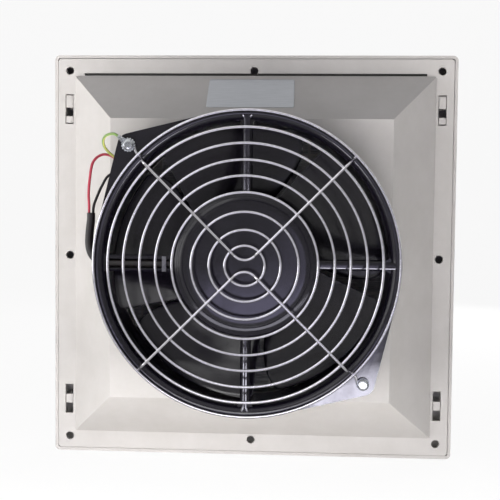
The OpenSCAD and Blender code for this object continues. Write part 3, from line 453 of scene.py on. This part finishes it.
# %% Polyamide, foil and fleece
def polyamide():
    material, place = started("polyamide")
    mottle = add(material, "TexNoise", {"Vector": place, "Scale": per_mm(1.2), "Detail": 4.0})
    gloss = add(material, "MapRange", {"Value": mottle, "To Min": 0.4, "To Max": 0.65})
    skin = add(material, "Bump", {"Height": mottle, "Strength": 0.2, "Distance": 0.08 * MM})
    return finish(material, Base_Color=linear("#26282C"), Roughness=gloss, Normal=skin, IOR=1.53)


def brushed_foil():
    material, place = started("brushed_foil")
    stretched = add(material, "Mapping", {"Vector": place, "Scale": (0.03, 1.0, 1.0)})
    lines = add(material, "TexNoise", {"Vector": stretched, "Scale": per_mm(0.35), "Detail": 3.0})
    tint = add(material, "ValToRGB", {"Fac": lines}, stops=((0.3, "#B2B5B9"), (0.7, "#C1C3C8")))
    skin = add(material, "Bump", {"Height": lines, "Strength": 0.2, "Distance": 0.03 * MM})
    return finish(material, Base_Color=tint, Metallic=0.35, Roughness=0.38, Normal=skin)


def polyester_fleece():
    material, place = started("polyester_fleece")
    streaks = []
    for turn in (25, -35, 80):
        laid = add(material, "Mapping", {"Vector": place, "Rotation": (0, math.radians(turn), 0),
                                         "Scale": (0.06, 1.0, 1.0)})
        streaks.append(add(material, "TexNoise", {"Vector": laid, "Scale": per_mm(0.7),
                                                  "Detail": 2.0, "Distortion": 0.6}))
    two = add(material, "Math", {0: streaks[0], 1: streaks[1]}, operation="MAXIMUM")
    fibres = add(material, "Math", {0: two, 1: streaks[2]}, operation="MAXIMUM")
    tint = add(material, "ValToRGB", {"Fac": fibres}, stops=((0.45, "#9B9A9B"), (0.68, "#D6D5D5")))
    skin = add(material, "Bump", {"Height": fibres, "Strength": 0.9, "Distance": 0.8 * MM})
    return finish(material, Base_Color=tint, Roughness=0.9, Normal=skin, Sheen_Weight=0.3,
                  Sheen_Roughness=0.5)

# %% The finishes in use
FINISH = {
    "housing_abs": moulded_abs(),
    "fan_black": black_enamel("cast_enamel", "#0E0C13", 2.6, 0.03, 0.10),
    "rotor_black": black_enamel("sheet_enamel", "#100D15", 1.6, 0.02, 0.12),
    "chrome_wire": bright_metal("chromed_wire", "#E2E0E5", "#D2D0D5", 0.10, 0.5, 0.006),
    "zinc_steel": bright_metal("zinc_plate", "#C9CBCE", "#A9ACB0", 0.22, 0.4, 0.04),
    "bearing_steel": bright_metal("ground_steel", "#C6C7C9", "#B4B5B8", 0.14, 0.3, 0.01),
    "lamination_steel": laminated_steel(),
    "copper_winding": enamelled_copper(),
    "lead_red": lead_pvc("pvc_red", "#B03A4C"),
    "lead_black": lead_pvc("pvc_black", "#141214"),
    "lead_green_yellow": lead_pvc("pvc_earth", "#C3C36A", stripe="#6E8A4A"),
    "sleeve_black": lead_pvc("pvc_sleeving", "#1A1516", ripple_mm=2.5, roughness=0.38),
    "terminal_plastic": polyamide(),
    "rating_foil": brushed_foil(),
    "filter_fibre": polyester_fleece(),
}
dulled_zinc = bright_metal("dulled_zinc", "#8C8B90", "#6E6D72", 0.38, 0.4, 0.04)
print("finishes", len(FINISH) + 1)

# %% [markdown]
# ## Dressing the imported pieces
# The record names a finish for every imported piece, so one loop gives each its material. The clip
# on the left strut is the one that differs: its zinc has gone dull and dark. A new piece takes
# the finish of a packed one, rides on its body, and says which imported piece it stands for.

# %% Dressing
slot_of = {node: packed.data.materials[0].name for node, packed in nodes.items()}
bodies = frame["record"]["behaviour"]["bodies"]
body_of = {node: body for body, members in bodies.items() for node in members}
for node, packed in nodes.items():
    packed.data.materials.clear()
    packed.data.materials.append(FINISH[slot_of[node]])
nodes["lead_clip"].data.materials[0] = dulled_zinc


def dress(piece, node, stands_for=True):
    """Gives a new piece the finish and the body of a packed one, which it hides if it stands for
    it."""
    piece.data.materials.clear()
    piece.data.materials.append(FINISH[slot_of[node]])
    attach(piece, body_of[node])
    if stands_for:
        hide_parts(node)
    return piece


for node, piece in cords.items():
    piece.data.materials.append(FINISH[slot_of[node]])
print("dressed", len(nodes), "packed pieces")

# %% [markdown]
# ## Moulded and cast edges
# No real moulding has a perfectly sharp edge: the tool's corners are rounded by some tenths of a
# millimetre, and that thin round catches a line of light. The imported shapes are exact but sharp.
# A bevel on a copy of each gives that line. The copy's loose triangles are merged first, and flat
# ones are joined, because a bevel follows edges and not the cuts inside a flat face.

# %% Softened edges
FLAT = math.radians(0.4)
EDGE = math.radians(34)
MERGE = 0.002 * MM


def softened(node, width_mm):
    """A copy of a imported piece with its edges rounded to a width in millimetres."""
    mesh = nodes[node].data.copy()
    if "custom_normal" in mesh.attributes:
        mesh.attributes.remove(mesh.attributes["custom_normal"])
    bm = bmesh.new()
    bm.from_mesh(mesh)
    bmesh.ops.remove_doubles(bm, verts=bm.verts, dist=MERGE)
    bmesh.ops.dissolve_limit(bm, angle_limit=FLAT, verts=bm.verts, edges=bm.edges)
    for face in bm.faces:
        face.smooth = True
    bm.to_mesh(mesh)
    bm.free()
    piece = bpy.data.objects.new(node + "_finished", mesh)
    scene.collection.objects.link(piece)
    bevel = piece.modifiers.new("edge", "BEVEL")
    bevel.limit_method, bevel.angle_limit = "ANGLE", EDGE
    bevel.width, bevel.segments = width_mm * MM, 2
    bevel.harden_normals = True
    print(piece.name, len(mesh.polygons), "faces")
    return dress(piece, node)


for node, width_mm in (("base_frame", 0.5), ("fan_frame", 0.6), ("louvre_cover", 0.4),
                       ("mat_grid", 0.25)):
    softened(node, width_mm)

# %% [markdown]
# A drip groove runs along the flange above the funnel. It is only two millimetres wide, and shade
# falls into it, so that it reads as a dark line, and that shade is painted into the colour. A
# darker strip could be laid into it, but an attribute on the points of the groove's floor does the
# same
# without a new piece: the painted shade fades from the floor up the two walls.

# %% Painted shade in the groove
GROOVE_LOW = np.array([-138.5, 1.2, 145.5]) * MM
GROOVE_HIGH = np.array([138.5, 1.6, 148.5]) * MM
base = bpy.data.objects["base_frame_finished"].data
place = np.empty(3 * len(base.vertices))
base.vertices.foreach_get("co", place)
place = place.reshape(-1, 3)
# The groove's floor gets 1: there the plastic is painted dark as shade.
on_floor = np.all((place > GROOVE_LOW) & (place < GROOVE_HIGH), axis=1).astype(np.float32)
base.attributes.new("dust", "FLOAT", "POINT").data.foreach_set("value", on_floor)
print("points on the groove's floor", int(on_floor.sum()))

# %% [markdown]
# ## The motor's cap
# A pressed steel cap covers the motor in the middle of the fan. Its edge is drawn over a wide
# soft shoulder, which shows the floor in front of the fan as a pale arc along its lower side. It
# could be a cylinder with a bevel, but the shoulder is flatter than a quarter circle. So its
# section, a quarter of an ellipse between two straight lines, is turned once round the axis.

# %% Cap
motor_low, motor_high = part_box("motor_cover")
SHOULDER_R, SHOULDER_H = 11.0 * MM, 5.5 * MM
CHAMFER_R, CHAMFER_H = 0.6 * MM, 0.3 * MM
CENTRE_SHARE = 0.004  # radius of the last ring, as a share of the flat top's
CAP_SIDES, TOP_RINGS = 180, 14


def cap():
    """The section gives a radius and a depth: over a small chamfer at the back, up the side, round
    the shoulder with the cosine and sine of a quarter turn, and in towards the axis, where the last
    ring is a point's size."""
    edge = motor_high.x
    quarter = np.linspace(0, np.pi / 2, 28)
    shoulder_r = edge - SHOULDER_R * (1 - np.cos(quarter))
    shoulder_y = motor_low.y + SHOULDER_H * (1 - np.sin(quarter))
    top_r = np.linspace(0.9, CENTRE_SHARE, TOP_RINGS) * (edge - SHOULDER_R)
    radius = np.concatenate([[edge - CHAMFER_R, edge], shoulder_r, top_r])
    depth = np.concatenate([[motor_high.y, motor_high.y - CHAMFER_H], shoulder_y,
                            np.full(TOP_RINGS, motor_low.y)])
    turn = np.linspace(0, 2 * np.pi, CAP_SIDES, endpoint=False)
    x, z = radius[:, None] * np.cos(turn), radius[:, None] * np.sin(turn)
    return np.stack([x, np.broadcast_to(depth[:, None], x.shape), z], -1)


dress(closed("motor_cap", cap()), "motor_cover")

# %% [markdown]
# ## Ribs on the struts
# Three of the four struts carry a narrow cast rib along their front. It runs out over the rounded
# mouth of the duct, where two fillets spread it until it meets the rim. A bevelled box can't
# spread like that, so the rib is an outline in the plane of the fan, lifted in a few steps: up
# the side, over a small round and a narrow slanting facet, and then nearly flat to the middle.
# The facets catch long lines of light. How far they lie from the edge and how wide the fillets
# are differs from rib to rib, as it does on a casting that is dressed by hand.

# %% Ribs
duct_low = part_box("fan_frame")[0]
RIB_HALF = 2.4 * MM
RIB_FRONT, RIB_BACK = duct_low.y + 0.4 * MM, duct_low.y + 5.5 * MM
HUB_OVERLAP = 1.5 * MM
SIDE_POINTS = 24
# in mm: width of the facet and of the creases beside it, and how far its top lies behind the front
FACET, CREASE, BROW = 0.7, 0.06, 0.02
SLOPE = 0.21


def rib_steps(facet_at):
    """How far each step's outline lies inside the first one and how deep it lies behind the rib's
    front, in mm: a round, then a slanting facet round facet_at, then nearly flat to the middle."""
    low, high = facet_at - FACET / 2, facet_at + FACET / 2
    inset = np.array([low, low + CREASE, high - CREASE, high])
    facet = np.stack([inset, BROW + SLOPE * (high - inset)], -1)
    return np.vstack([[(0, 1.2), (0.07, 0.6)], facet, [(2.3, 0)]])


def rib(turn, facet_at, fillet_r, end):
    """The outline goes out along one side, round a quarter circle that curves away from the rib,
    across the end, and back. Each step's outline is moved inwards along its own normals."""
    quarter = np.linspace(0, np.pi / 2, 12)
    start = motor_high.x - HUB_OVERLAP
    straight = np.linspace(start, end - fillet_r, SIDE_POINTS)
    side = np.stack([straight, np.full(SIDE_POINTS, RIB_HALF)], -1)
    fillet = np.stack([end - fillet_r + fillet_r * np.sin(quarter),
                       RIB_HALF + fillet_r * (1 - np.cos(quarter))], -1)
    half = np.vstack([side, fillet[1:]])
    normal = np.vstack([np.tile([0.0, 1.0], (SIDE_POINTS, 1)),
                        np.stack([-np.sin(quarter), np.cos(quarter)], -1)[1:]])
    outline = np.vstack([half, half[::-1] * [1, -1]])
    normal = np.vstack([normal, normal[::-1] * [1, -1]])
    steps = rib_steps(facet_at) * MM
    inset = np.concatenate([[0], steps[:, 0]])
    depth = np.concatenate([[RIB_BACK], RIB_FRONT + steps[:, 1]])
    flat = outline - inset[:, None, None] * normal
    along, across = flat[..., 0], flat[..., 1]
    x = along * math.cos(turn) - across * math.sin(turn)
    z = along * math.sin(turn) + across * math.cos(turn)
    return np.stack([x, np.broadcast_to(depth[:, None], x.shape), z], -1)


# side, turn in degrees, and in mm: place of the facet, radius of the fillets, end of the rib
for side, turn, facet_at, fillet_r, end in (
    ("right", 0, 0.5, 0.8, 108.2),
    ("top", 90, 0.75, 4.4, 106.4),
    ("bottom", 270, 1.5, 4.4, 106.4),
):
    points = rib(math.radians(turn), facet_at, fillet_r * MM, end * MM)
    dress(closed(f"rib_{side}", points), "fan_frame", stands_for=False)

# %% [markdown]
# ## The wire guard
# Nine wire rings lie on two bent spoke wires and are spot welded to them. The rings are exact
# already. Each spoke wire starts as an eyelet round an ear screw, climbs in an S-shaped ramp over
# the outer ring, runs in front of the inner rings to the middle, turns there in a round bend, and
# comes down the other ramp. It is one path, so it is swept as one tube. Its radii and planes are
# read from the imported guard.

# %% Spoke wires
WIRE_R = 1.0 * MM
BEND_R = 10.0 * MM
EYELET_R = 3.6 * MM
BEND_RUN, PAST_RIM = 4 * MM, 0.8 * WIRE_R  # straight stretch beside the bend, overlap at the rim
# radii of the nine rings, as shares of the outer one's
RING_SHARES = (0.1284, 0.2294, 0.344, 0.4679, 0.5734, 0.6743, 0.7798, 0.8807, 1.0)
rings_low, rings_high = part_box("guard_rings")
wires_low, wires_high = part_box("guard_wires")
outer_r = rings_high.x - WIRE_R
ring_front, ring_back = rings_low.y + WIRE_R, rings_high.y - WIRE_R
ring_radii = outer_r * np.array(RING_SHARES)
spoke_front, spoke_back = wires_low.y + WIRE_R, wires_high.y - WIRE_R
washer_low, washer_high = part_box("head_washer")
ear_r = math.hypot(*((washer_low + washer_high) / 2).xz)
ear = ear_r * math.sqrt(0.5)
RAMP_IN, RAMP_OUT = ring_radii[-2] + 2.5 * MM, outer_r - 1.5 * MM


def spoke_depth(s):
    """Depth of a spoke at distance s from the middle: in front up to the ramp, then a smooth step,
    3 t squared less 2 t cubed, down to the rim."""
    t = np.clip((RAMP_OUT - s) / (RAMP_OUT - RAMP_IN), 0, 1)
    return spoke_back + (spoke_front - spoke_back) * t * t * (3 - 2 * t)


def arm(s, angle):
    """Points of a spoke at the distances s from the middle."""
    s = np.asarray(s, float)
    return np.stack([s * math.cos(angle), spoke_depth(s), s * math.sin(angle)], -1)


def spoke_path():
    """The eyelet's arc round the ear, the arm at 135 degrees, the bend, the arm at 45 degrees."""
    round_ear = np.radians(np.arange(280, 9, -9))
    eyelet = np.stack([-ear + EYELET_R * np.cos(round_ear), np.full(len(round_ear), spoke_back),
                       ear + EYELET_R * np.sin(round_ear)], -1)
    stops = np.concatenate([[BEND_R + BEND_RUN, (BEND_R + RAMP_IN) / 2],
                            np.linspace(RAMP_IN, RAMP_OUT, 13)])
    turn = np.radians(np.arange(225, 316, 7.5))
    bend = np.stack([BEND_R * np.cos(turn), np.full(len(turn), spoke_front),
                     BEND_R * (math.sqrt(2) + np.sin(turn))], -1)
    upper, last = math.radians(135), math.radians(45)
    return np.vstack([eyelet, arm([ear_r - 2 * EYELET_R], upper), arm(stops[::-1], upper), bend,
                      arm(stops, last), arm([outer_r + PAST_RIM], last)])


def joined(name, parts):
    """One piece made of several."""
    bpy.ops.object.select_all(action="DESELECT")
    for part in parts:
        part.select_set(True)
    bpy.context.view_layer.objects.active = parts[0]
    bpy.ops.object.join()
    parts[0].name = name
    return parts[0]


path = smooth_route(spoke_path(), steps=3)
wire = rings_along(path, WIRE_R, sides=20)
upper_wire = closed("spoke_0", wire, length_of(path))
lower_wire = closed("spoke_1", wire * [-1, 1, -1], length_of(path))
dress(joined("spoke_wires", [upper_wire, lower_wire]), "guard_wires")

# %% [markdown]
# Where a ring crosses a spoke, the weld squeezes a small collar of metal out of the joint. A lump
# of solder could be sculpted at each, but at this size a flattened ball reads as one: it is a
# sphere's grid, stretched along the ring, and the thirty-six are joined into one piece.

# %% Welds
WELD = np.array([1.6, 0.75, 1.0]) * MM


def welds():
    """Each weld is a sphere: (cos u cos v, sin v, sin u cos v), stretched and set at a crossing,
    halfway between the ring and the spoke. The outer ring lies lower than the others."""
    u, v = np.meshgrid(np.linspace(0, 2 * np.pi, 13), np.linspace(-np.pi / 2, np.pi / 2, 9))
    ball = np.stack([np.cos(u) * np.cos(v), np.sin(v), np.sin(u) * np.cos(v)], -1) * WELD
    pieces = []
    for angle in np.radians((45, 135, 225, 315)):
        across = np.array([-math.sin(angle), 0, math.cos(angle)])
        out = np.array([math.cos(angle), 0, math.sin(angle)])
        for r in ring_radii:
            outer = r == outer_r
            depth = (ring_back + spoke_back) / 2 if outer else (ring_front + spoke_front) / 2
            place = out * r + np.array([0, depth, 0])
            turned = ball[..., :1] * across + ball[..., 1:2] * [0, 1, 0] + ball[..., 2:] * out
            points = place + turned
            pieces.append(surface(f"weld_{len(pieces)}", points))
    return joined("guard_welds", pieces)


dress(welds(), "guard_rings", stands_for=False)

# %% [markdown]
# At the upper left ear a toothed washer lies under the screw's head. Its twisted teeth bite
# through the enamel, so that the earth lead has bare metal to touch, and they glitter in every
# direction. It could be cut out with booleans. Here it is a flat ring whose rim goes out and in
# fifteen times, and each tooth is twisted by lifting one of its sides.

# %% Toothed washer
lug_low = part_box("earth_lug")[0]
TEETH, STEPS_PER_TOOTH = 15, 14
RING_IN, RING_OUT, TOOTH_OUT = 3.4 * MM, 4.5 * MM, 5.1 * MM
TWIST, TOOTH_T = 0.6 * MM, 0.3 * MM
washer_place = np.array([-ear, lug_low.y + 1.35 * MM, ear])


def toothed_washer():
    """A share from the inner to the outer edge and an angle give a point. The outer edge swings
    between ring and tooth with the cosine of fifteen times the angle, pressed flat, and the height
    with the sine times the share beyond the ring."""
    angle = np.linspace(0, 2 * np.pi, TEETH * STEPS_PER_TOOTH, endpoint=False)
    tooth = 0.5 + 0.5 * np.tanh(3 * np.cos(TEETH * angle))
    reach = np.array([0, 0.5, 0.75, 1.0])[:, None]
    edge = RING_OUT + (TOOTH_OUT - RING_OUT) * tooth
    radius = RING_IN + reach * (edge - RING_IN)
    beyond = np.clip((radius - RING_OUT) / (TOOTH_OUT - RING_OUT), 0, 1)
    twist = TWIST * np.sin(TEETH * angle) * beyond
    front = np.stack([radius * np.cos(angle), -TOOTH_T / 2 + twist, radius * np.sin(angle)], -1)
    return washer_place + np.vstack([front, front[::-1] + [0, TOOTH_T, 0]])


dress(surface("toothed_washer", toothed_washer(), (True, True)), "earth_lug", stands_for=False)

# %% [markdown]
# ## The blades
# Five pressed blades are welded to the rotor cup. They are so wide that they nearly close the
# circle. A blade's front edge is a straight cut that passes beside the axis, the sheet stands
# steeper at the root, and it is cambered. The shape is a function of the distance from root to
# tip and of the way across the blade. Its section is a thin loop with round edges, so the sheet
# has a real thickness, and the loop closes to a thin lip at the tip.

# %% Blades
cup_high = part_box("rotor_cup")[1]
BLADE_COUNT = 5
ROOT_R, TIP_R = cup_high.x + 0.15 * MM, 100.0 * MM
SHEET = 1.6 * MM
ROOT_RISE, TIP_RISE, CAMBER = 24.0 * MM, 21.0 * MM, 3.5 * MM
ROOT_ARC, TIP_ARC, EDGE_TURN = (math.radians(a) for a in (70, 62, -25))
EDGE_OFFSET = 17.0 * MM
CORNER_R = 4.0 * MM
ROOT_INSET = 2 * MM
BLADE_STEPS, EDGE_STEPS = 41, 7
BLADE_MID = -(cup_high.y - ROOT_INSET - ROOT_RISE / 2 - CAMBER / 2)
LIP_SHARE = 0.97  # how far round its half circle the tip's edge goes, so that it keeps a thickness


def blade(turn):
    """At share u from root to tip and share v across, the angle is the front edge's less (1 - v)
    arc, and the height is (v - 1/2) rise less the camber's arch. The front edge's angle is the
    arcsine of its offset over the radius, and a quarter circle rounds both corners. The section
    runs along the front at half the sheet's thickness and back along the other side, with a half
    circle round each edge."""
    u = np.sin(np.linspace(0, np.pi / 2, BLADE_STEPS))[:, None]
    radius = ROOT_R + u * (TIP_R - ROOT_R)
    rise = ROOT_RISE + (TIP_RISE - ROOT_RISE) * u
    arc = ROOT_ARC + (TIP_ARC - ROOT_ARC) * u**3
    rounding = np.clip((radius - TIP_R) / CORNER_R + 1, 0, 1)
    corner = CORNER_R / radius * (1 - np.sqrt(1 - rounding**2))
    width = radius * arc
    across = np.linspace(0, 1, BLADE_STEPS)
    edge = np.linspace(np.pi / 2, -np.pi / 2, EDGE_STEPS)[1:-1]
    run = np.concatenate([across, np.ones(len(edge)), across[::-1], np.zeros(len(edge))])
    out = np.concatenate([0 * across, np.cos(edge), 0 * across, -np.cos(edge)])
    side = np.concatenate([0 * across + 1, np.sin(edge), 0 * across - 1, -np.sin(edge)])
    inset = SHEET / 2 / width
    v = inset + run * (1 - 2 * inset) + out * inset
    lip = np.sqrt(1 - np.clip((u - 1) * (TIP_R - ROOT_R) / (SHEET / 2) + 1, 0, LIP_SHARE) ** 2)
    front_edge = EDGE_TURN + np.arcsin(EDGE_OFFSET / radius) - corner
    angle = front_edge - (1 - v) * (arc - 2 * corner) + turn
    lift = SHEET / 2 * np.sqrt(1 + (rise / width) ** 2) * side * lip
    height = BLADE_MID + (v - 0.5) * rise - CAMBER * (1 - (2 * v - 1) ** 2) + lift
    return np.stack([radius * np.cos(angle), -height, radius * np.sin(angle)], -1)


for k in range(BLADE_COUNT):
    points = blade(k * 2 * math.pi / BLADE_COUNT)
    dress(closed(f"blade_{k + 1}_sheet", points), f"blade_{k + 1}")

# %% [markdown]
# ## The label
# A foil label with rounded corners sticks to the upper slope of the funnel. Its place comes from
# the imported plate: the largest face gives the plane. The outline is a rounded rectangle, and the
# grid's rows shrink it to a thin lip so that the foil's edge isn't a knife cut. It stays blank.

# %% Label
LABEL = np.array([68.0, 38.0]) * MM
LABEL_CORNER = 2.0 * MM
LABEL_T = 0.3 * MM
# inset of an outline in mm, and its height as a share of the foil's thickness
LABEL_ROWS = ((0, -0.5), (0, 0.35), (0.08, 0.5), (1.0, 0.5))


def rounded_outline(size, corner, steps=10):
    """Four quarter circles at the corners of a rectangle, joined by straight lines."""
    angle = np.linspace(0, np.pi / 2, steps)
    turns = np.concatenate([angle + k * np.pi / 2 for k in range(4)])
    signs = np.repeat([(1, 1), (-1, 1), (-1, -1), (1, -1)], steps, axis=0)
    return signs * (size / 2 - corner) + corner * np.stack([np.cos(turns), np.sin(turns)], -1)


plate = max(nodes["rating_plate"].data.polygons, key=lambda face: face.area)
normal = np.array(plate.normal) * (-1 if plate.normal.y > 0 else 1)
plate_low, plate_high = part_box("rating_plate")
middle = np.array((plate_low + plate_high) / 2)
right = np.array([1.0, 0, 0])
up = np.cross(normal, right)
rows = []
for inset, height in LABEL_ROWS:
    outline = rounded_outline(LABEL - 2 * inset * MM, LABEL_CORNER)
    rows.append(middle + outline[:, :1] * right + outline[:, 1:] * up + height * LABEL_T * normal)
dress(closed("blank_label", np.array(rows)), "rating_plate")

# %% [markdown]
# ## The filter mat
# A fleece of polyester fibres lies in the cover's frame. It is a soft slab: flat where the grid
# and the louvres hold it, rounded at its cut edges, and a little uneven everywhere. A cushion
# simulation would blow it up like a pillow, which a fleece doesn't do, so the slab is a closed
# grid whose faces are lifted by a few soft waves.

# %% Filter mat
mat_low, mat_high = (np.array(corner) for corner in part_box("filter_mat"))
CUT_EDGE, SQUARENESS = 0.04, 60  # share that the cut edge takes, and power of the superellipse
WAVE_ROOM, WAVE_H = 0.5 * MM, 0.16 * MM
WAVES = ((190, 60, 0), (-90, 150, 1), (310, 310, 2))  # radians per metre along x and z, and phase


def fleece_slab():
    """A rounded slab: a point's share across, raised to a flat superellipse, gives its thickness,
    and three slow waves of different lengths lift the face by up to half a millimetre."""
    half, middle = (mat_high - mat_low) / 2, (mat_high + mat_low) / 2
    angle = np.linspace(0, 2 * np.pi, 240, endpoint=False)
    circle = np.stack([np.cos(angle), np.sin(angle)], -1)
    square = circle / abs(circle).max(axis=1, keepdims=True)
    reach = np.concatenate([np.linspace(0.01, 1 - CUT_EDGE, 60),
                            1 - CUT_EDGE * (1 - np.linspace(0.1, 1, 10)) ** 2])
    thick = (1 - reach**SQUARENESS) ** 0.5
    both = np.concatenate([reach, reach[::-1][1:]])
    side = np.concatenate([thick, -thick[::-1][1:]])
    x = both[:, None] * square[:, 0] * half[0]
    z = both[:, None] * square[:, 1] * half[2]
    wave = sum(np.sin(a * x + b * z + phase) for a, b, phase in WAVES)
    y = side[:, None] * (half[1] - WAVE_ROOM + WAVE_H * wave)
    return middle + np.stack([x, y, z], -1)


mat = dress(closed("fleece_mat", fleece_slab()), "filter_mat")

# %% [markdown]
# ## Floor, backdrop and light
# The unit stands on a pale floor that sweeps up behind it into a backdrop. Its material is a mix:
# to the rays that show a surface it is mostly a plain white of its own, and the rest is a diffuse
# coat that takes the shadow. In a studio, what lies before the object is darker than what lies
# behind it, and glossy rays mostly go forwards, so a Light Path node gives them a dimmer white.
# That keeps black enamel black.

# %% Floor and backdrop
IN_GLOSS = 0.42  # level of the floor and the world to a glossy ray
CAMERA_PLAIN, GLOSS_PLAIN = 0.92, 0.96  # share of plain white in the floor, to each kind of ray
FLOOR_Z = cad_low.z
FLOOR_FRONT, SWEEP_START, SWEEP_R, WALL_TOP, HALF_WIDTH = -3.0, 1.2, 0.8, 3.5, 4.0


def seen_share(tree):
    """1 to the rays that show a surface: camera, glossy and transmission rays."""
    rays = add(tree, "LightPath").outputs
    direct = add(tree, "Math", {0: rays["Is Camera Ray"], 1: rays["Is Transmission Ray"]},
                 operation="MAXIMUM")
    return add(tree, "Math", {0: direct, 1: rays["Is Glossy Ray"]}, operation="MAXIMUM")


def by_gloss(tree, glossy, other):
    """One level to a glossy ray and another to all others."""
    gloss = add(tree, "LightPath").outputs["Is Glossy Ray"]
    return add(tree, "MapRange", {"Value": gloss, "To Min": other, "To Max": glossy})


def studio_white():
    """A pale diffuse surface that camera and mirrors see mostly as a plain white."""
    material = new_material("studio_white")
    plain = by_gloss(material, GLOSS_PLAIN, CAMERA_PLAIN)
    share = add(material, "Math", {0: seen_share(material), 1: plain}, operation="MULTIPLY")
    diffuse = add(material, "BsdfDiffuse", {"Color": linear("#F2F1EF")})
    white = add(material, "Emission", {"Color": (1, 1, 1, 1),
                                       "Strength": by_gloss(material, IN_GLOSS, 1.0)})
    mixed = add(material, "MixShader", {0: share, 1: diffuse, 2: white})
    add(material, "OutputMaterial", {"Surface": mixed})
    return material


def sweep_profile():
    """Floor, a quarter circle, and the wall, as depth and height."""
    angle = np.linspace(-np.pi / 2, 0, 20)
    bend = np.stack([SWEEP_START + SWEEP_R * np.cos(angle),
                     FLOOR_Z + SWEEP_R * (1 + np.sin(angle))], -1)
    return np.vstack([[FLOOR_FRONT, FLOOR_Z], bend, [SWEEP_START + SWEEP_R, WALL_TOP]])


profile = sweep_profile()
sides = np.array([-HALF_WIDTH, 0, HALF_WIDTH])
sheet = np.stack([np.broadcast_to(sides, (len(profile), 3)), np.repeat(profile[:, :1], 3, 1),
                  np.repeat(profile[:, 1:], 3, 1)], -1)
floor = surface("floor", sheet)
floor.data.materials.append(studio_white())

# %% [markdown]
# The world is split by Light Path in the same way. What lights the object is a dim sky, brighter
# at the horizon than overhead. What shows is a plain white that meets the floor without a line,
# and that a mirror sees dim at the horizon and full overhead.
#
# The photograph's light comes from low on the left: the lower slope of the funnel is nearly
# white, the upper one is grey, and the right side is greyer than the left. So a large soft lamp
# stands low on the left, another faces the floor from close above it, which throws light up on
# the slope, and a third fills in from above. One behind keeps the back from going dark.
#
# Black enamel shows little but what it mirrors, so the lines and glints on the fan need small
# lamps of their own. A photographer would shade those from everything else with cards. Here light
# linking does it: such a lamp shines only on the pieces that it names.

# %% World and lamps
# heights are the Z of a direction, 0 at the horizon and 1 straight up
HORIZON, ROOF, ROOF_FROM = 0.32, 0.09, 0.8
DIM_BELOW, FULL_ABOVE = 0.45, 0.85
WORLD_PLAIN = 0.94  # looks like the floor to the camera

world = bpy.data.worlds.new("studio")
scene.world = world
world.use_nodes = True
world.node_tree.nodes.clear()
direction = add(world, "SeparateXYZ", {"Vector": add(world, "TexCoord").outputs["Generated"]})
level = add(world, "MapRange", {"Value": direction.outputs["Z"], "From Max": ROOF_FROM,
                                "To Min": HORIZON, "To Max": ROOF})
sky = add(world, "Background", {"Color": linear("#F3F5FF"), "Strength": level})
mirrored = add(world, "MapRange", {"Value": direction.outputs["Z"], "From Min": DIM_BELOW,
                                   "From Max": FULL_ABOVE, "To Min": IN_GLOSS, "To Max": 1.0})
strength = by_gloss(world, mirrored, WORLD_PLAIN)
plain = add(world, "Background", {"Color": linear("#FFFFFF"), "Strength": strength})
both = add(world, "MixShader", {0: seen_share(world), 1: sky, 2: plain})
add(world, "OutputWorld", {"Surface": both})


def lamp(name, place, aim, size, watts, colour="#FFFFFF", only=()):
    """A soft rectangular lamp that faces its aim and that the camera doesn't see. It shines on all
    pieces, or only on those whose names begin as given."""
    data = bpy.data.lights.new(name, "AREA")
    data.shape, data.energy = "RECTANGLE", watts
    data.size, data.size_y = size
    data.color = linear(colour)[:3]
    holder = bpy.data.objects.new(name, data)
    place, aim = np.array(place), np.array(aim)
    holder.location = place
    holder.rotation_euler = Vector(aim - place).to_track_quat("-Z", "Y").to_euler()
    holder.visible_camera = False
    scene.collection.objects.link(holder)
    if only:
        lit = bpy.data.collections.new(name + "_lit")
        for piece in bpy.data.objects:
            if piece.name.startswith(only):
                lit.objects.link(piece)
        holder.light_linking.receiver_collection = lit
    return holder


COOL, LILAC = "#F0EEFF", "#D8D2FF"
FRAME = ("fan_frame_finished", "rib_", "fan_screws", "toothed_washer")
TOP_RIB = ("rib_top",)
# name, place and aim in metres, width and height, watts, and where they differ colour and pieces
LAMPS = (
    ("low_left", (-1.25, -0.55, 0.09), (0, -0.05, -0.02), (1.5, 0.5), 5.7),
    ("on_floor", (-0.21, -0.55, -0.075), (-0.21, -0.549, -1.0), (1.1, 0.7), 13.9),
    ("floor_right", (0.1, -0.34, -0.141), (0.084, -0.09, -0.093), (0.11, 0.041), 0.34, COOL, FRAME),
    ("floor_left", (-0.136, -0.34, -0.134), (0, -0.09, -0.08), (0.06, 0.05), 0.25, COOL, FRAME),
    ("top_glint_left", (-0.145, -0.50, 0.012), (0, -0.09, 0.106), (0.09, 0.08), 0.7, COOL, TOP_RIB),
    ("top_glint_right", (0.095, -0.50, 0.012), (0, -0.09, 0.106), (0.09, 0.08), 0.7, COOL, TOP_RIB),
    ("top_line", (-0.20, -0.50, 0.12), (0, -0.09, 0.08), (0.10, 0.16), 0.13, COOL, TOP_RIB),
    ("floor_glow", (0.05, -0.27, -0.158), (0.05, -0.2699, 1.0), (0.45, 0.12), 0.75, COOL,
     ("motor_cap",)),
    ("low_front", (0.02, -0.70, -0.115), (0.0, -0.1, -0.03), (0.25, 0.09), 0.19, LILAC),
    ("top_left", (-0.8, -0.9, 0.65), (0, -0.05, 0), (1.2, 0.8), 3.4),
    ("behind_camera", (0.15, -1.9, -0.07), (0.0, 0, -0.05), (0.3, 0.14), 0.17, LILAC),
    ("behind", (0.45, 1.0, 0.35), (0, 0.04, 0), (1.0, 0.7), 10),
)
for row in LAMPS:
    lamp(*row)
print("lamps", len(LAMPS))

scene.view_settings.view_transform = "Standard"
